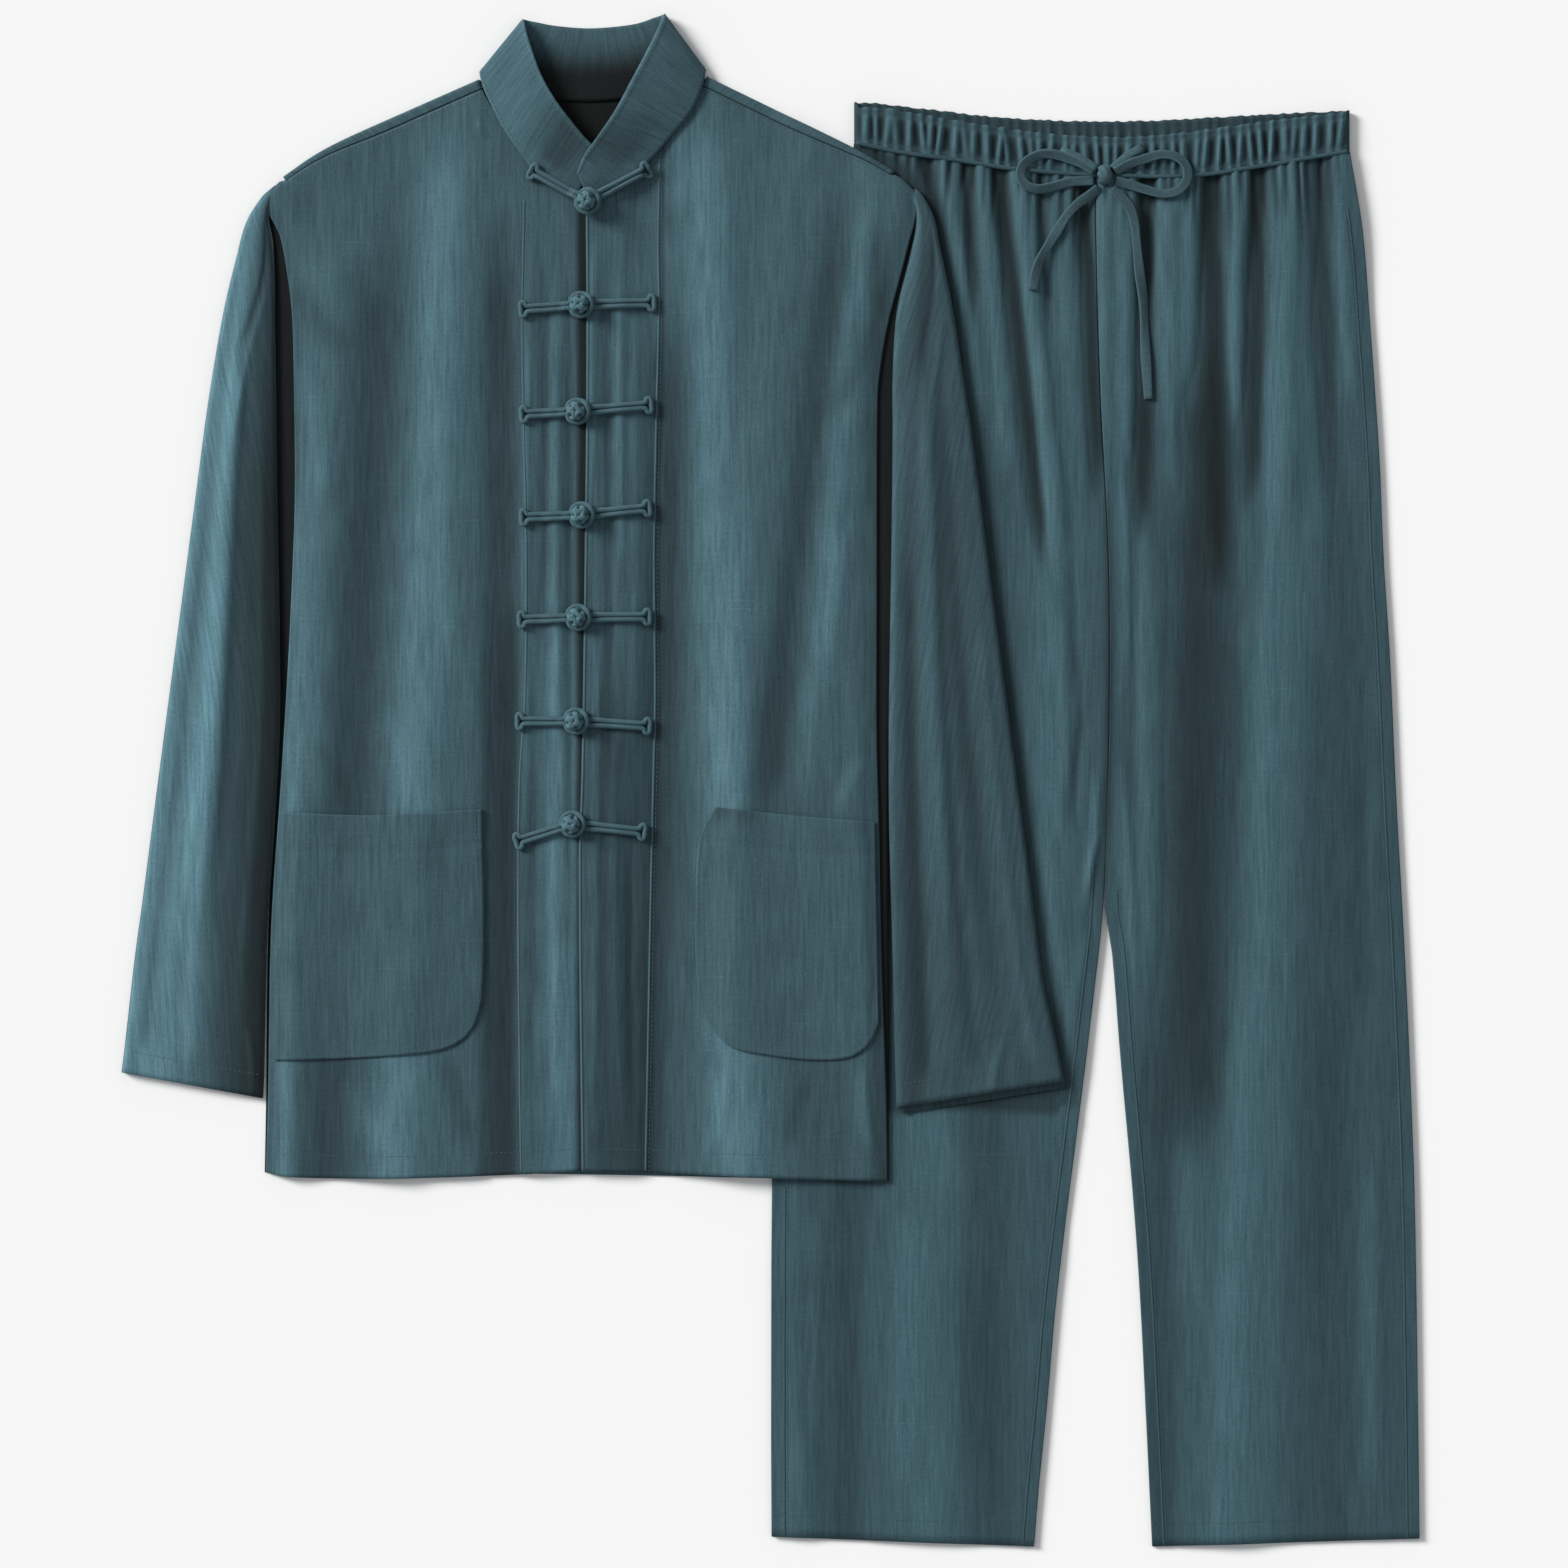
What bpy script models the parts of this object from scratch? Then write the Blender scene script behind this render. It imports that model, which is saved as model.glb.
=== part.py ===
"""A tai chi uniform laid flat: frog-buttoned jacket, partly over drawstring trousers.

Lengths in the tables are millimetres. X runs to the right, Y towards the collar and the
waistband, Z up from the surface that the set lies on. The origin is under the middle of the set.
"""
import math
from collections import namedtuple

import bmesh
import bpy
from mathutils import Vector
from mathutils.bvhtree import BVHTree

# Driving dimensions, in millimetres
MM = 0.001
CLOTH = 1.2
GAP = 0.3
LAYER = CLOTH + GAP
TROUSER_STACK = 2 * LAYER
BODY_LOFT = 2.2
BODY_HEIGHT = LAYER + BODY_LOFT + CLOTH
RAMP_START = 62.0
RAMP_WIDTH = 30.0
CENTRE_X = -132.0
LAP_X = -108.0
LAP_RAMP = 12.0
PLACKET_HALF = 34.0
EDGE_ROUND = 16.0
SHOULDER_STRIP = 10.0
COLLAR_CLOTH = 1.6
CORD = 3.3
FROG_SPREAD = 3.7
KNOT_BALL = 11.6
TAPE = 5.2
WAIST_GATHERS = 44
WAIST_CLOTH = 2.2
WAIST_WAVE = 1.7
REST_LOFT = 0.8
WAIST_LOFT = 2.6

# Tables: a row per point, section, fold or fastening
Point = namedtuple("Point", "x y")
Corner = namedtuple("Corner", "x y")
Section = namedtuple("Section", "outer_x outer_y inner_x inner_y height")
Fold = namedtuple("Fold", "top_x top_y foot_x foot_y width height")
Station = namedtuple("Station", "seam_x seam_y seam_z edge_x edge_y edge_z")
Frog = namedtuple("Frog", "ball_x ball_y left_x left_y right_x right_y")
Bow = namedtuple("Bow", "name lift route")

JACKET_SIDE_LEFT = [
    Point(-358, -278), Point(-356.5, -225), Point(-355, -127), Point(-353, -80), Point(-348, -10),
    Point(-343, 70), Point(-340, 130), Point(-337.5, 200), Point(-338, 270), Point(-339.5, 330),
    Point(-343, 360), Point(-348, 386), Point(-355, 402), Point(-350, 412)]
JACKET_SIDE_RIGHT = [
    Point(83, -284), Point(82, -220), Point(79, -135), Point(77, -30), Point(75.5, 30),
    Point(75.5, 130), Point(76, 270), Point(78, 292), Point(84, 324), Point(92, 357),
    Point(98, 382), Point(101, 401), Point(93, 414)]
BACK_SIDE_LEFT = [
    Point(-359, -278), Point(-358, -225), Point(-357, -127), Point(-355.5, -85), Point(-352, -20),
    Point(-348.5, 60), Point(-349, 130), Point(-351, 200), Point(-353.5, 270), Point(-352.5, 330),
    Point(-352, 362), Point(-353.5, 386), Point(-356.5, 405)]
BACK_SIDE_RIGHT = [
    Point(84, -284), Point(84, -200), Point(84, -30), Point(85.5, 60), Point(88, 130),
    Point(90, 200), Point(93, 260), Point(97, 310), Point(101, 362), Point(102.5, 404)]
HEM_LEFT = [
    Point(-358, -278), Point(-345, -281), Point(-291, -282.5), Point(-249, -282),
    Point(-178, -279.5), Point(-128, -276.5), Point(-108, -276)]
HEM_RIGHT = [
    Point(-134, -277), Point(-93, -278), Point(-40, -280), Point(20, -282.5), Point(83, -284)]
BACK_HEM = [Point(-359, -278), Point(-138, -279.5), Point(84, -284)]
SHOULDER_LEFT = [
    Point(-346, 428.5), Point(-324, 443.5), Point(-303.5, 454.5), Point(-260, 474), Point(-207, 497.4)]
SHOULDER_RIGHT = [
    Point(-45, 499.5), Point(10.3, 472.5), Point(63.5, 446.2), Point(88, 432)]
NECK_BACK = [
    Point(-207, 497.4), Point(-195, 494.5), Point(-172, 488.5), Point(-127, 484.5), Point(-80, 490),
    Point(-57, 496.5), Point(-45, 499.5)]
NECK_FRONT_LEFT = [
    Corner(-201.6, 484.7), Point(-196, 475), Point(-186, 463), Point(-170, 445.5), Point(-158, 434),
    Point(-145, 425), Point(-128, 418), Point(-108, 416)]
NECK_FRONT_RIGHT = [
    Point(-131, 410), Point(-122, 416), Point(-112, 421), Point(-97, 431), Point(-82, 445),
    Point(-68, 461), Point(-57, 476), Corner(-51, 487.2)]
CENTRE_LEFT = [Point(-108, -276), Point(-108, 416)]
CENTRE_RIGHT = [
    Point(-134, -277), Point(-136, -56), Point(-134, 8), Point(-131.7, 162), Point(-130.5, 304),
    Point(-131, 410)]

# Broad soft folds of the two fronts, their ridges positive and their troughs negative
FOLDS_LEFT = [
    Fold(-318, 330, -325, -270, 24, 2.2), Fold(-285, 300, -296, -270, 18, -1.6),
    Fold(-252, 380, -262, -270, 22, 2.6), Fold(-205, 300, -194, -270, 15, -2.2),
    Fold(-176, 250, -170, -270, 12, 1.0)]
FOLDS_RIGHT = [
    Fold(-64, 330, -50, -270, 16, -2.0), Fold(-24, 400, -20, -270, 22, 2.6),
    Fold(14, 330, 22, -270, 17, -1.7), Fold(48, 380, 52, -270, 16, 1.9)]

SLEEVE_LEFT = [
    Section(-361, 414, -356, 401, 4.2), Section(-371.7, 397, -354, 387, 5.0),
    Section(-379, 371, -351.8, 362, 5.6), Section(-388, 333, -351.3, 326, 6.0),
    Section(-398.7, 270, -350.5, 264, 6.2), Section(-408.6, 196, -349.5, 188, 6.2),
    Section(-418, 125, -348.2, 114, 6.0), Section(-427, 57, -347.8, 43, 6.0),
    Section(-436.3, -14, -351.5, -30, 5.8), Section(-445.5, -85, -356.5, -103, 5.8),
    Section(-451.2, -127, -357.8, -147, 5.8), Section(-458.3, -190, -359, -208, 5.8),
    Section(-460.5, -207, -359.8, -225.5, 5.8)]
SLEEVE_RIGHT = [
    Section(107, 416, 103.5, 403, 4.2), Section(115.4, 401, 103.2, 389, 4.8),
    Section(120.3, 379, 102.6, 371, 5.2), Section(129, 337, 99, 332, 5.8),
    Section(136.7, 288, 95, 286, 6.0), Section(142.4, 251, 92, 247, 6.2),
    Section(149.5, 196, 89.5, 188, 6.2), Section(158.7, 125, 86.8, 114, 6.0),
    Section(167.6, 57, 84.6, 43, 6.0), Section(177, -14, 84.4, -29, 5.8),
    Section(186.1, -85, 86, -103, 5.8), Section(193.5, -142, 87.4, -156, 5.8),
    Section(200.6, -174, 88.3, -198, 5.8), Section(208.4, -213, 89.3, -232, 6.0)]

# Where the trousers come out from under the jacket: below the right cuff, and below the hem
CUFF_Y = SLEEVE_RIGHT[-1].inner_y - 6.0
JACKET_HEM_Y = JACKET_SIDE_RIGHT[0].y - 28.0

# The stand collar: seam side and free edge, from its left end round the back to its right end
COLLAR = [
    Station(-138, 413, 7.0, -119, 446, 8.2), Station(-153, 420, 7.0, -129, 453, 9.4),
    Station(-166, 429, 7.0, -141, 467, 11.0), Station(-177, 444, 7.0, -153, 483, 12.4),
    Station(-190, 463, 7.0, -163, 501, 13.0), Station(-202.5, 488, 7.4, -171.5, 525, 12.2),
    Station(-206, 500, 6.2, -174.8, 537.5, 9.0), Station(-205.5, 503.5, 2.4, -175.5, 540, 3.0),
    Station(-198, 502, 0.0, -168, 538.5, 0.0), Station(-172, 489.5, 0.0, -152, 535.5, 0.0),
    Station(-127, 485.5, 0.0, -127, 533.8, 0.0), Station(-80, 491, 0.0, -98, 536.5, 0.0),
    Station(-54, 503, 0.0, -82, 541.5, 0.0), Station(-46.5, 505, 2.4, -75.5, 543.5, 3.2),
    Station(-46, 501.5, 6.2, -76, 541, 11.0), Station(-49, 489.5, 7.8, -84, 523, 14.2),
    Station(-56, 474, 7.8, -97, 498, 15.0), Station(-71, 455.5, 8.0, -110, 474, 14.6),
    Station(-86, 438.5, 8.6, -123, 455, 13.0), Station(-103, 423, 9.0, -132, 442.5, 12.0),
    Station(-129, 411.5, 9.2, -137, 430, 11.4)]

FROGS = [
    Frog(-129.6, 410, -168.5, 431.5, -87.5, 432.5), Frog(-134.5, 337, -175.5, 334, -84, 338.5),
    Frog(-137, 261.5, -175, 259.5, -86, 266), Frog(-134, 188, -175, 186.5, -87, 193),
    Frog(-136.5, 115.5, -176.5, 114, -87, 116), Frog(-138, 42, -178, 42, -87, 38.5),
    Frog(-140.5, -31, -179, -43, -90.5, -36.5)]

POCKET_LEFT = [
    Corner(-345.5, -22.5), Point(-282, -24.5), Corner(-204.8, -20.2), Point(-203.2, -97),
    Point(-205, -154), Point(-209.5, -172), Point(-218, -183), Point(-231, -190),
    Point(-250, -193.5), Point(-300, -197), Corner(-351.5, -198.5)]
POCKET_RIGHT = [
    Corner(74, -29.5), Point(20, -25), Corner(-39, -19), Point(-50, -40), Point(-53, -84),
    Point(-52, -144), Point(-45, -171), Point(-29, -188), Point(2, -195), Point(33, -198),
    Point(56, -196), Point(69, -187), Corner(76.5, -172)]

TROUSER_OUTER_LEFT = [
    Point(0.7, -536.4), Point(0.4, -452), Point(1.1, -285), Point(4, -190), Point(9, -90),
    Point(16, 10), Point(23, 110), Point(31.6, 227), Point(40.8, 321), Point(49, 389), Point(59.3, 452.6)]
TROUSER_INNER_LEFT = [
    Point(187, -543.5), Point(190.6, -499), Point(196.3, -442), Point(202, -376),
    Point(209, -316), Point(218, -245), Point(229, -155), Point(236, -88), Point(240, 40),
    Point(239.6, 157), Point(234, 270), Point(230.4, 398), Point(231, 428.4)]
TROUSER_INNER_RIGHT = [
    Point(270.9, -543.5), Point(266.6, -453), Point(262.3, -367), Point(257.5, -298),
    Point(248.5, -198), Point(242.2, -120), Point(237.4, -88), Point(240.4, 40),
    Point(240, 157), Point(234.4, 270), Point(230.8, 398), Point(231.4, 428.4)]
TROUSER_OUTER_RIGHT = [
    Point(460.4, -537.8), Point(459.4, -453), Point(457, -298), Point(454, -213),
    Point(449.8, -120), Point(444, -14), Point(439.5, 86), Point(435, 157), Point(432, 228),
    Point(425.6, 321), Point(420, 389), Point(410.7, 446)]
TROUSER_HEM_LEFT = [Point(0.7, -536.4), Point(92, -540), Point(187, -543.5)]
TROUSER_HEM_RIGHT = [Point(270.9, -543.5), Point(365, -540.7), Point(460.4, -537.8)]
WAIST_SEAM = [
    Point(59.3, 452.6), Point(89, 446), Point(130, 440.2), Point(173, 433.5), Point(234, 429),
    Point(300, 429), Point(347, 435.5), Point(410.7, 446.2)]
WAIST_FRONT_TOP = [
    Point(60.5, 477.5), Point(80.6, 476.5), Point(130, 468.2), Point(173, 461.5), Point(211, 457.6),
    Point(252, 456.2), Point(293, 459.5), Point(347, 466.8), Point(406.5, 474)]
WAIST_BACK_TOP = [
    Point(61.4, 481), Point(73, 480.8), Point(116, 476), Point(157, 471.2), Point(211, 468.2),
    Point(265, 468.2), Point(320, 471), Point(374, 474), Point(405.8, 475.2)]

# Gathers that run down from the casing into the legs
GATHERS_LEFT = [
    Fold(96, 440, 104, 300, 8, 1.6), Fold(112, 440, 128, 330, 7, -2.4), Fold(128, 438, 146, 250, 9, 2.4),
    Fold(146, 436, 166, 290, 7, -2.8), Fold(160, 435, 184, 220, 9, 3.0), Fold(176, 433, 196, 230, 8, -3.4),
    Fold(190, 432, 208, 180, 9, 3.2), Fold(205, 431, 218, 270, 7, -2.8), Fold(218, 430, 226, 260, 7, 2.4)]
GATHERS_RIGHT = [
    Fold(243, 430, 248, 250, 8, 2.8), Fold(257, 430, 264, 210, 8, -3.4), Fold(272, 430, 278, 250, 8, 2.8),
    Fold(287, 431, 288, 300, 7, -2.2), Fold(302, 432, 304, 240, 9, 2.6), Fold(318, 433, 317, 310, 8, -2.6),
    Fold(334, 435, 335, 260, 9, 2.6), Fold(351, 437, 356, 330, 8, -2.2), Fold(367, 440, 374, 280, 9, 2.2),
    Fold(383, 443, 392, 350, 7, -1.8), Fold(398, 445, 408, 300, 7, 1.4)]
LEG_FOLDS_LEFT = [
    Fold(196, 240, 130, -530, 26, 2.0), Fold(216, 120, 170, -500, 15, -1.3), Fold(60, -150, 52, -530, 20, 1.6)]
LEG_FOLDS_RIGHT = [
    Fold(280, 230, 318, -530, 26, 2.2), Fold(330, 200, 352, -500, 22, -1.5), Fold(378, 220, 398, -530, 26, 2.0),
    Fold(262, 120, 290, -420, 14, -1.3)]

BOW_KNOT = Point(236.8, 429.2)
BOW_CORDS = [
    Bow("drawstring_loop_left", 0.6, [
        Point(229.5, 431.5), Point(219, 437.5), Point(208.4, 441.5), Point(197, 444), Point(187, 442),
        Point(179, 436), Point(177, 428), Point(181, 421.5), Point(190, 419), Point(201, 421),
        Point(213, 424.3), Point(229.2, 425)]),
    Bow("drawstring_loop_right", 0.6, [
        Point(244.2, 431), Point(254, 436.5), Point(265, 440.2), Point(277, 443.5), Point(288, 441.5),
        Point(295, 434), Point(294.5, 424.5), Point(288, 417.5), Point(278, 415.7), Point(266, 418.5),
        Point(256, 421.5), Point(244.4, 424.6)]),
    Bow("drawstring_tail_left", 0.3, [
        Point(232.5, 419.8), Point(226, 414.5), Point(218, 409), Point(210, 400.5), Point(204, 391),
        Point(198, 381), Point(191, 369), Point(187.5, 358), Point(185.7, 347.5)]),
    Bow("drawstring_tail_right", 0.3, [
        Point(241.6, 419.6), Point(248, 413.5), Point(254, 406), Point(257.5, 396), Point(259.5, 380),
        Point(261.5, 361), Point(264.3, 340), Point(265.3, 320), Point(266, 303), Point(267, 287),
        Point(268, 270.5)])]

# Colours of the cloth and its parts in shade
COLOURS = {
    "jacket": (0.055, 0.115, 0.140, 1.0),
    "trousers": (0.040, 0.085, 0.105, 1.0),
    "trim": (0.062, 0.130, 0.155, 1.0),
}


def clear_scene():
    """Remove everything, so that only the uniform is left."""
    for thing in list(bpy.data.objects):
        bpy.data.objects.remove(thing, do_unlink=True)


def cloth_material(name):
    """One Principled material for a family of pieces."""
    material = bpy.data.materials.get(name) or bpy.data.materials.new(name)
    material.use_nodes = True
    shader = material.node_tree.nodes["Principled BSDF"]
    shader.inputs["Base Color"].default_value = COLOURS[name]
    shader.inputs["Roughness"].default_value = 0.85
    shader.inputs["Metallic"].default_value = 0.0
    return material


def smoothstep(t):
    t = min(max(t, 0.0), 1.0)
    return t * t * (3.0 - 2.0 * t)


def mix(a, b, t):
    return a + (b - a) * t


def hermite(values, knots, at):
    """A smooth curve through the values at their knots, read at one place."""
    last = len(knots) - 1
    i = 0
    while i < last - 1 and at > knots[i + 1]:
        i += 1
    span = knots[i + 1] - knots[i]
    t = (at - knots[i]) / span

    def slope(k):
        low = max(k - 1, 0)
        high = min(k + 1, last)
        return (values[high] - values[low]) / (knots[high] - knots[low])

    start = slope(i) * span
    end = slope(i + 1) * span
    return ((2 * t ** 3 - 3 * t ** 2 + 1) * values[i] + (t ** 3 - 2 * t ** 2 + t) * start
            + (3 * t ** 2 - 2 * t ** 3) * values[i + 1] + (t ** 3 - t ** 2) * end)


class Curve:
    """A smooth planar curve through points, broken at its corners, read from 0 to 1."""

    def __init__(self, points):
        self.points = points
        self.knots = [0.0]
        for a, b in zip(points, points[1:]):
            self.knots.append(self.knots[-1] + math.hypot(b.x - a.x, b.y - a.y))
        self.length = self.knots[-1]
        corners = [i for i, p in enumerate(points) if isinstance(p, Corner)]
        self.breaks = sorted({0, len(points) - 1, *corners})

    def at_length(self, s):
        s = min(max(s, 0.0), self.length)
        for a, b in zip(self.breaks, self.breaks[1:]):
            if s <= self.knots[b] or b == self.breaks[-1]:
                knots = self.knots[a:b + 1]
                x = hermite([p.x for p in self.points[a:b + 1]], knots, s)
                y = hermite([p.y for p in self.points[a:b + 1]], knots, s)
                return x, y
        return self.points[-1].x, self.points[-1].y

    def at(self, t):
        return self.at_length(t * self.length)

    def x_at_y(self, y):
        """The x of a curve that runs along Y."""
        points = sorted(self.points, key=lambda p: p.y)
        ys = [p.y for p in points]
        return hermite([p.x for p in points], ys, min(max(y, ys[0]), ys[-1]))

    def y_at_x(self, x):
        """The y of a curve that runs along X."""
        points = sorted(self.points, key=lambda p: p.x)
        xs = [p.x for p in points]
        return hermite([p.y for p in points], xs, min(max(x, xs[0]), xs[-1]))


TROUSER_LEFT_EDGE = Curve(TROUSER_OUTER_LEFT)
TROUSER_RIGHT_EDGE = Curve(TROUSER_OUTER_RIGHT)
SLEEVE_EDGE = Curve([Point(s.outer_x, s.outer_y) for s in SLEEVE_RIGHT])
LEFT_SIDE = Curve(JACKET_SIDE_LEFT)
RIGHT_SIDE = Curve(JACKET_SIDE_RIGHT)


def fold_height(folds, x, y, fade=90.0):
    """The height that the folds add at a place: each a soft ridge or trough along its line."""
    total = 0.0
    for fold in folds:
        along = (fold.top_y - y) / (fold.top_y - fold.foot_y)
        centre = mix(fold.top_x, fold.foot_x, along)
        reach = min(fold.top_y - y, y - fold.foot_y) / fade + 1.0
        total += fold.height * smoothstep(reach) * math.exp(-((x - centre) / fold.width) ** 2)
    return total


def bed(x, y):
    """The surface under the jacket: the floor, or the trousers where they lie under it."""
    edge = TROUSER_LEFT_EDGE.x_at_y(y)
    return TROUSER_STACK * smoothstep((x - edge + RAMP_START) / RAMP_WIDTH)


def front_height(x, y, folds):
    """The lower side of a front panel: lofted between its side and the centre, with its folds."""
    side = min(x - LEFT_SIDE.x_at_y(y), RIGHT_SIDE.x_at_y(y) - x)
    loft = BODY_LOFT * smoothstep(side / EDGE_ROUND)
    placket = smoothstep((abs(x - CENTRE_X) - PLACKET_HALF) / EDGE_ROUND)
    waves = fold_height(folds, x, y) * placket * smoothstep(side / (2 * EDGE_ROUND))
    return bed(x, y) + LAYER + max(loft + waves, 0.0)


def left_front_height(x, y):
    return front_height(x, y, FOLDS_LEFT)


def right_front_height(x, y):
    over = smoothstep((LAP_X + 2.0 - x) / LAP_RAMP + 1.0)
    return front_height(x, y, FOLDS_RIGHT) + LAYER * over


def trouser_height(x, y, gathers, folds):
    """The lower side of a trouser front: gathered under the casing, pressed flat under the jacket."""
    bare = smoothstep((x - SLEEVE_EDGE.x_at_y(y) - 12.0) / 14.0)
    if y < CUFF_Y:
        bare = smoothstep((JACKET_HEM_Y - y) / 40.0)
        bare = max(bare, smoothstep((x - SLEEVE_RIGHT[-1].outer_x) / 14.0))
    waist = smoothstep((y - 330.0) / 90.0)
    pleats = fold_height(gathers, x, y, 60.0)
    side = min(x - TROUSER_LEFT_EDGE.x_at_y(y), TROUSER_RIGHT_EDGE.x_at_y(y) - x)
    legs = fold_height(folds, x, y) * smoothstep(side / 24.0)
    return LAYER + bare * max(REST_LOFT + WAIST_LOFT * waist + pleats + legs, 0.0)


def add_object(name, bm, material, closed=True):
    """Turn a bmesh in millimetres into a named object in metres."""
    if closed:
        bmesh.ops.recalc_face_normals(bm, faces=bm.faces)
    bmesh.ops.scale(bm, vec=(MM, MM, MM), verts=bm.verts)
    mesh = bpy.data.meshes.new(name)
    bm.to_mesh(mesh)
    bm.free()
    mesh.shade_smooth()
    mesh.set_sharp_from_angle(angle=math.radians(50))
    mesh.materials.append(cloth_material(material))
    thing = bpy.data.objects.new(name, mesh)
    bpy.context.scene.collection.objects.link(thing)
    return thing


def wall(name, grid, material, thickness=CLOTH):
    """A cloth wall over a grid of its lower points, closed by a rim along its four sides."""
    bm = bmesh.new()
    low = [[bm.verts.new(p) for p in row] for row in grid]
    high = [[bm.verts.new((p[0], p[1], p[2] + thickness)) for p in row] for row in grid]
    for (a, b), (c, d) in zip(zip(low, low[1:]), zip(high, high[1:])):
        for i in range(len(a) - 1):
            bm.faces.new((a[i], b[i], b[i + 1], a[i + 1]))
            bm.faces.new((c[i], c[i + 1], d[i + 1], d[i]))
    rim_low = low[0] + [r[-1] for r in low[1:]] + low[-1][-2::-1] + [r[0] for r in low[-2:0:-1]]
    rim_high = high[0] + [r[-1] for r in high[1:]] + high[-1][-2::-1] + [r[0] for r in high[-2:0:-1]]
    for i in range(len(rim_low)):
        bm.faces.new((rim_low[i - 1], rim_low[i], rim_high[i], rim_high[i - 1]))
    return add_object(name, bm, material)


def skin(name, rings, material, thickness, closed, flip=False):
    """A wall of even thickness inside a skin of rings; closed rings make an open-ended tube."""
    bm = bmesh.new()
    if flip:
        rings = rings[::-1]
    verts = [[bm.verts.new(p) for p in ring] for ring in rings]
    count = len(rings[0])
    for a, b in zip(verts, verts[1:]):
        for i in range(count if closed else count - 1):
            k = (i + 1) % count
            bm.faces.new((a[i], a[k], b[k], b[i]))
    return line_skin(add_object(name, bm, material, closed=False), thickness)


def line_skin(thing, thickness):
    """Give a skin its thickness, inwards."""
    solid = thing.modifiers.new("Cloth", "SOLIDIFY")
    solid.thickness = thickness * MM
    solid.offset = -1.0
    solid.use_even_offset = True
    return thing


def even(count):
    """Evenly spaced shares from 0 to 1."""
    return [i / count for i in range(count + 1)]


def patch(bottom, top, left, right, columns, rows, height):
    """A grid of points between four edge curves, at the given shares across and up."""
    corners = (bottom(0.0), bottom(1.0), top(0.0), top(1.0))
    grid = []
    for v in rows:
        row = []
        for u in columns:
            place = []
            for k in (0, 1):
                ruled = mix(bottom(u)[k], top(u)[k], v) + mix(left(v)[k], right(v)[k], u)
                flat = mix(mix(corners[0][k], corners[1][k], u), mix(corners[2][k], corners[3][k], u), v)
                place.append(ruled - flat)
            row.append((place[0], place[1], height(place[0], place[1])))
        grid.append(row)
    return grid


def joined(curves, shares):
    """Curves end to end as one, each over its share of the way."""
    def read(t):
        start = 0.0
        for curve, share in zip(curves, shares):
            if t <= start + share + 1e-9:
                return curve((t - start) / share)
            start += share
        return curves[-1](1.0)
    return read


def inset(curve, distance):
    """A curve moved sideways to its right, which is into the panel along a shoulder."""
    def read(t):
        ax, ay = curve.at(max(t - 0.01, 0.0))
        bx, by = curve.at(min(t + 0.01, 1.0))
        span = math.hypot(bx - ax, by - ay)
        x, y = curve.at(t)
        return x + distance * (by - ay) / span, y - distance * (bx - ax) / span
    return read


class Surface:
    """The upper side of finished pieces, to lay others on."""

    def __init__(self, *things):
        points = []
        faces = []
        bpy.context.view_layer.update()
        graph = bpy.context.evaluated_depsgraph_get()
        for thing in things:
            mesh = thing.evaluated_get(graph).to_mesh()
            start = len(points)
            points += [Vector(v.co) / MM for v in mesh.vertices]
            faces += [[start + i for i in f.vertices] for f in mesh.polygons]
        self.tree = BVHTree.FromPolygons(points, faces)

    def top(self, x, y, reach=0.0):
        """The highest point at a place, or within reach of it."""
        best = 0.0
        steps = [(0.0, 0.0)]
        if reach > 0.0:
            steps += [(math.cos(k * math.pi / 4), math.sin(k * math.pi / 4)) for k in range(8)]
        for dx, dy in steps:
            hit = self.tree.ray_cast(Vector((x + dx * reach, y + dy * reach, 100.0)), Vector((0, 0, -1)))
            if hit[0] is not None:
                best = max(best, hit[0].z)
        return best


def settle(grid, surface, gap):
    """Raise the points of a grid until its faces clear the surface by the gap."""
    grid = [[list(p) for p in row] for row in grid]
    for _ in range(3):
        for a, b in zip(grid, grid[1:]):
            for i in range(len(a) - 1):
                quad = (a[i], a[i + 1], b[i], b[i + 1])
                for u, v in [(s, t) for s in even(4) for t in even(4)]:
                    p = [mix(mix(quad[0][k], quad[1][k], u), mix(quad[2][k], quad[3][k], u), v) for k in range(3)]
                    short = surface.top(p[0], p[1]) + gap - p[2]
                    if short > 0.0:
                        for q in quad:
                            q[2] += short
    return grid


def tube(name, path, radius, sides, material):
    """A cord in the round along a closed path."""
    bm = bmesh.new()
    rings = []
    count = len(path)
    for i, p in enumerate(path):
        ahead = (Vector(path[(i + 1) % count]) - Vector(path[i - 1])).normalized()
        across = ahead.cross(Vector((0, 0, 1))).normalized()
        up = across.cross(ahead)
        rings.append([bm.verts.new(Vector(p) + across * radius * math.cos(math.tau * k / sides)
                                   + up * radius * math.sin(math.tau * k / sides)) for k in range(sides)])
    for i in range(count):
        for k in range(sides):
            m = (k + 1) % sides
            bm.faces.new((rings[i - 1][k], rings[i - 1][m], rings[i][m], rings[i][k]))
    return add_object(name, bm, material)


TROUSER_ROWS = (0.0, 0.08, 0.16, 0.235, 0.30, 0.39, 0.48, 0.57, 0.65, 0.72, 0.78, 0.83, 0.88, 0.92, 0.96, 1.0)


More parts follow.
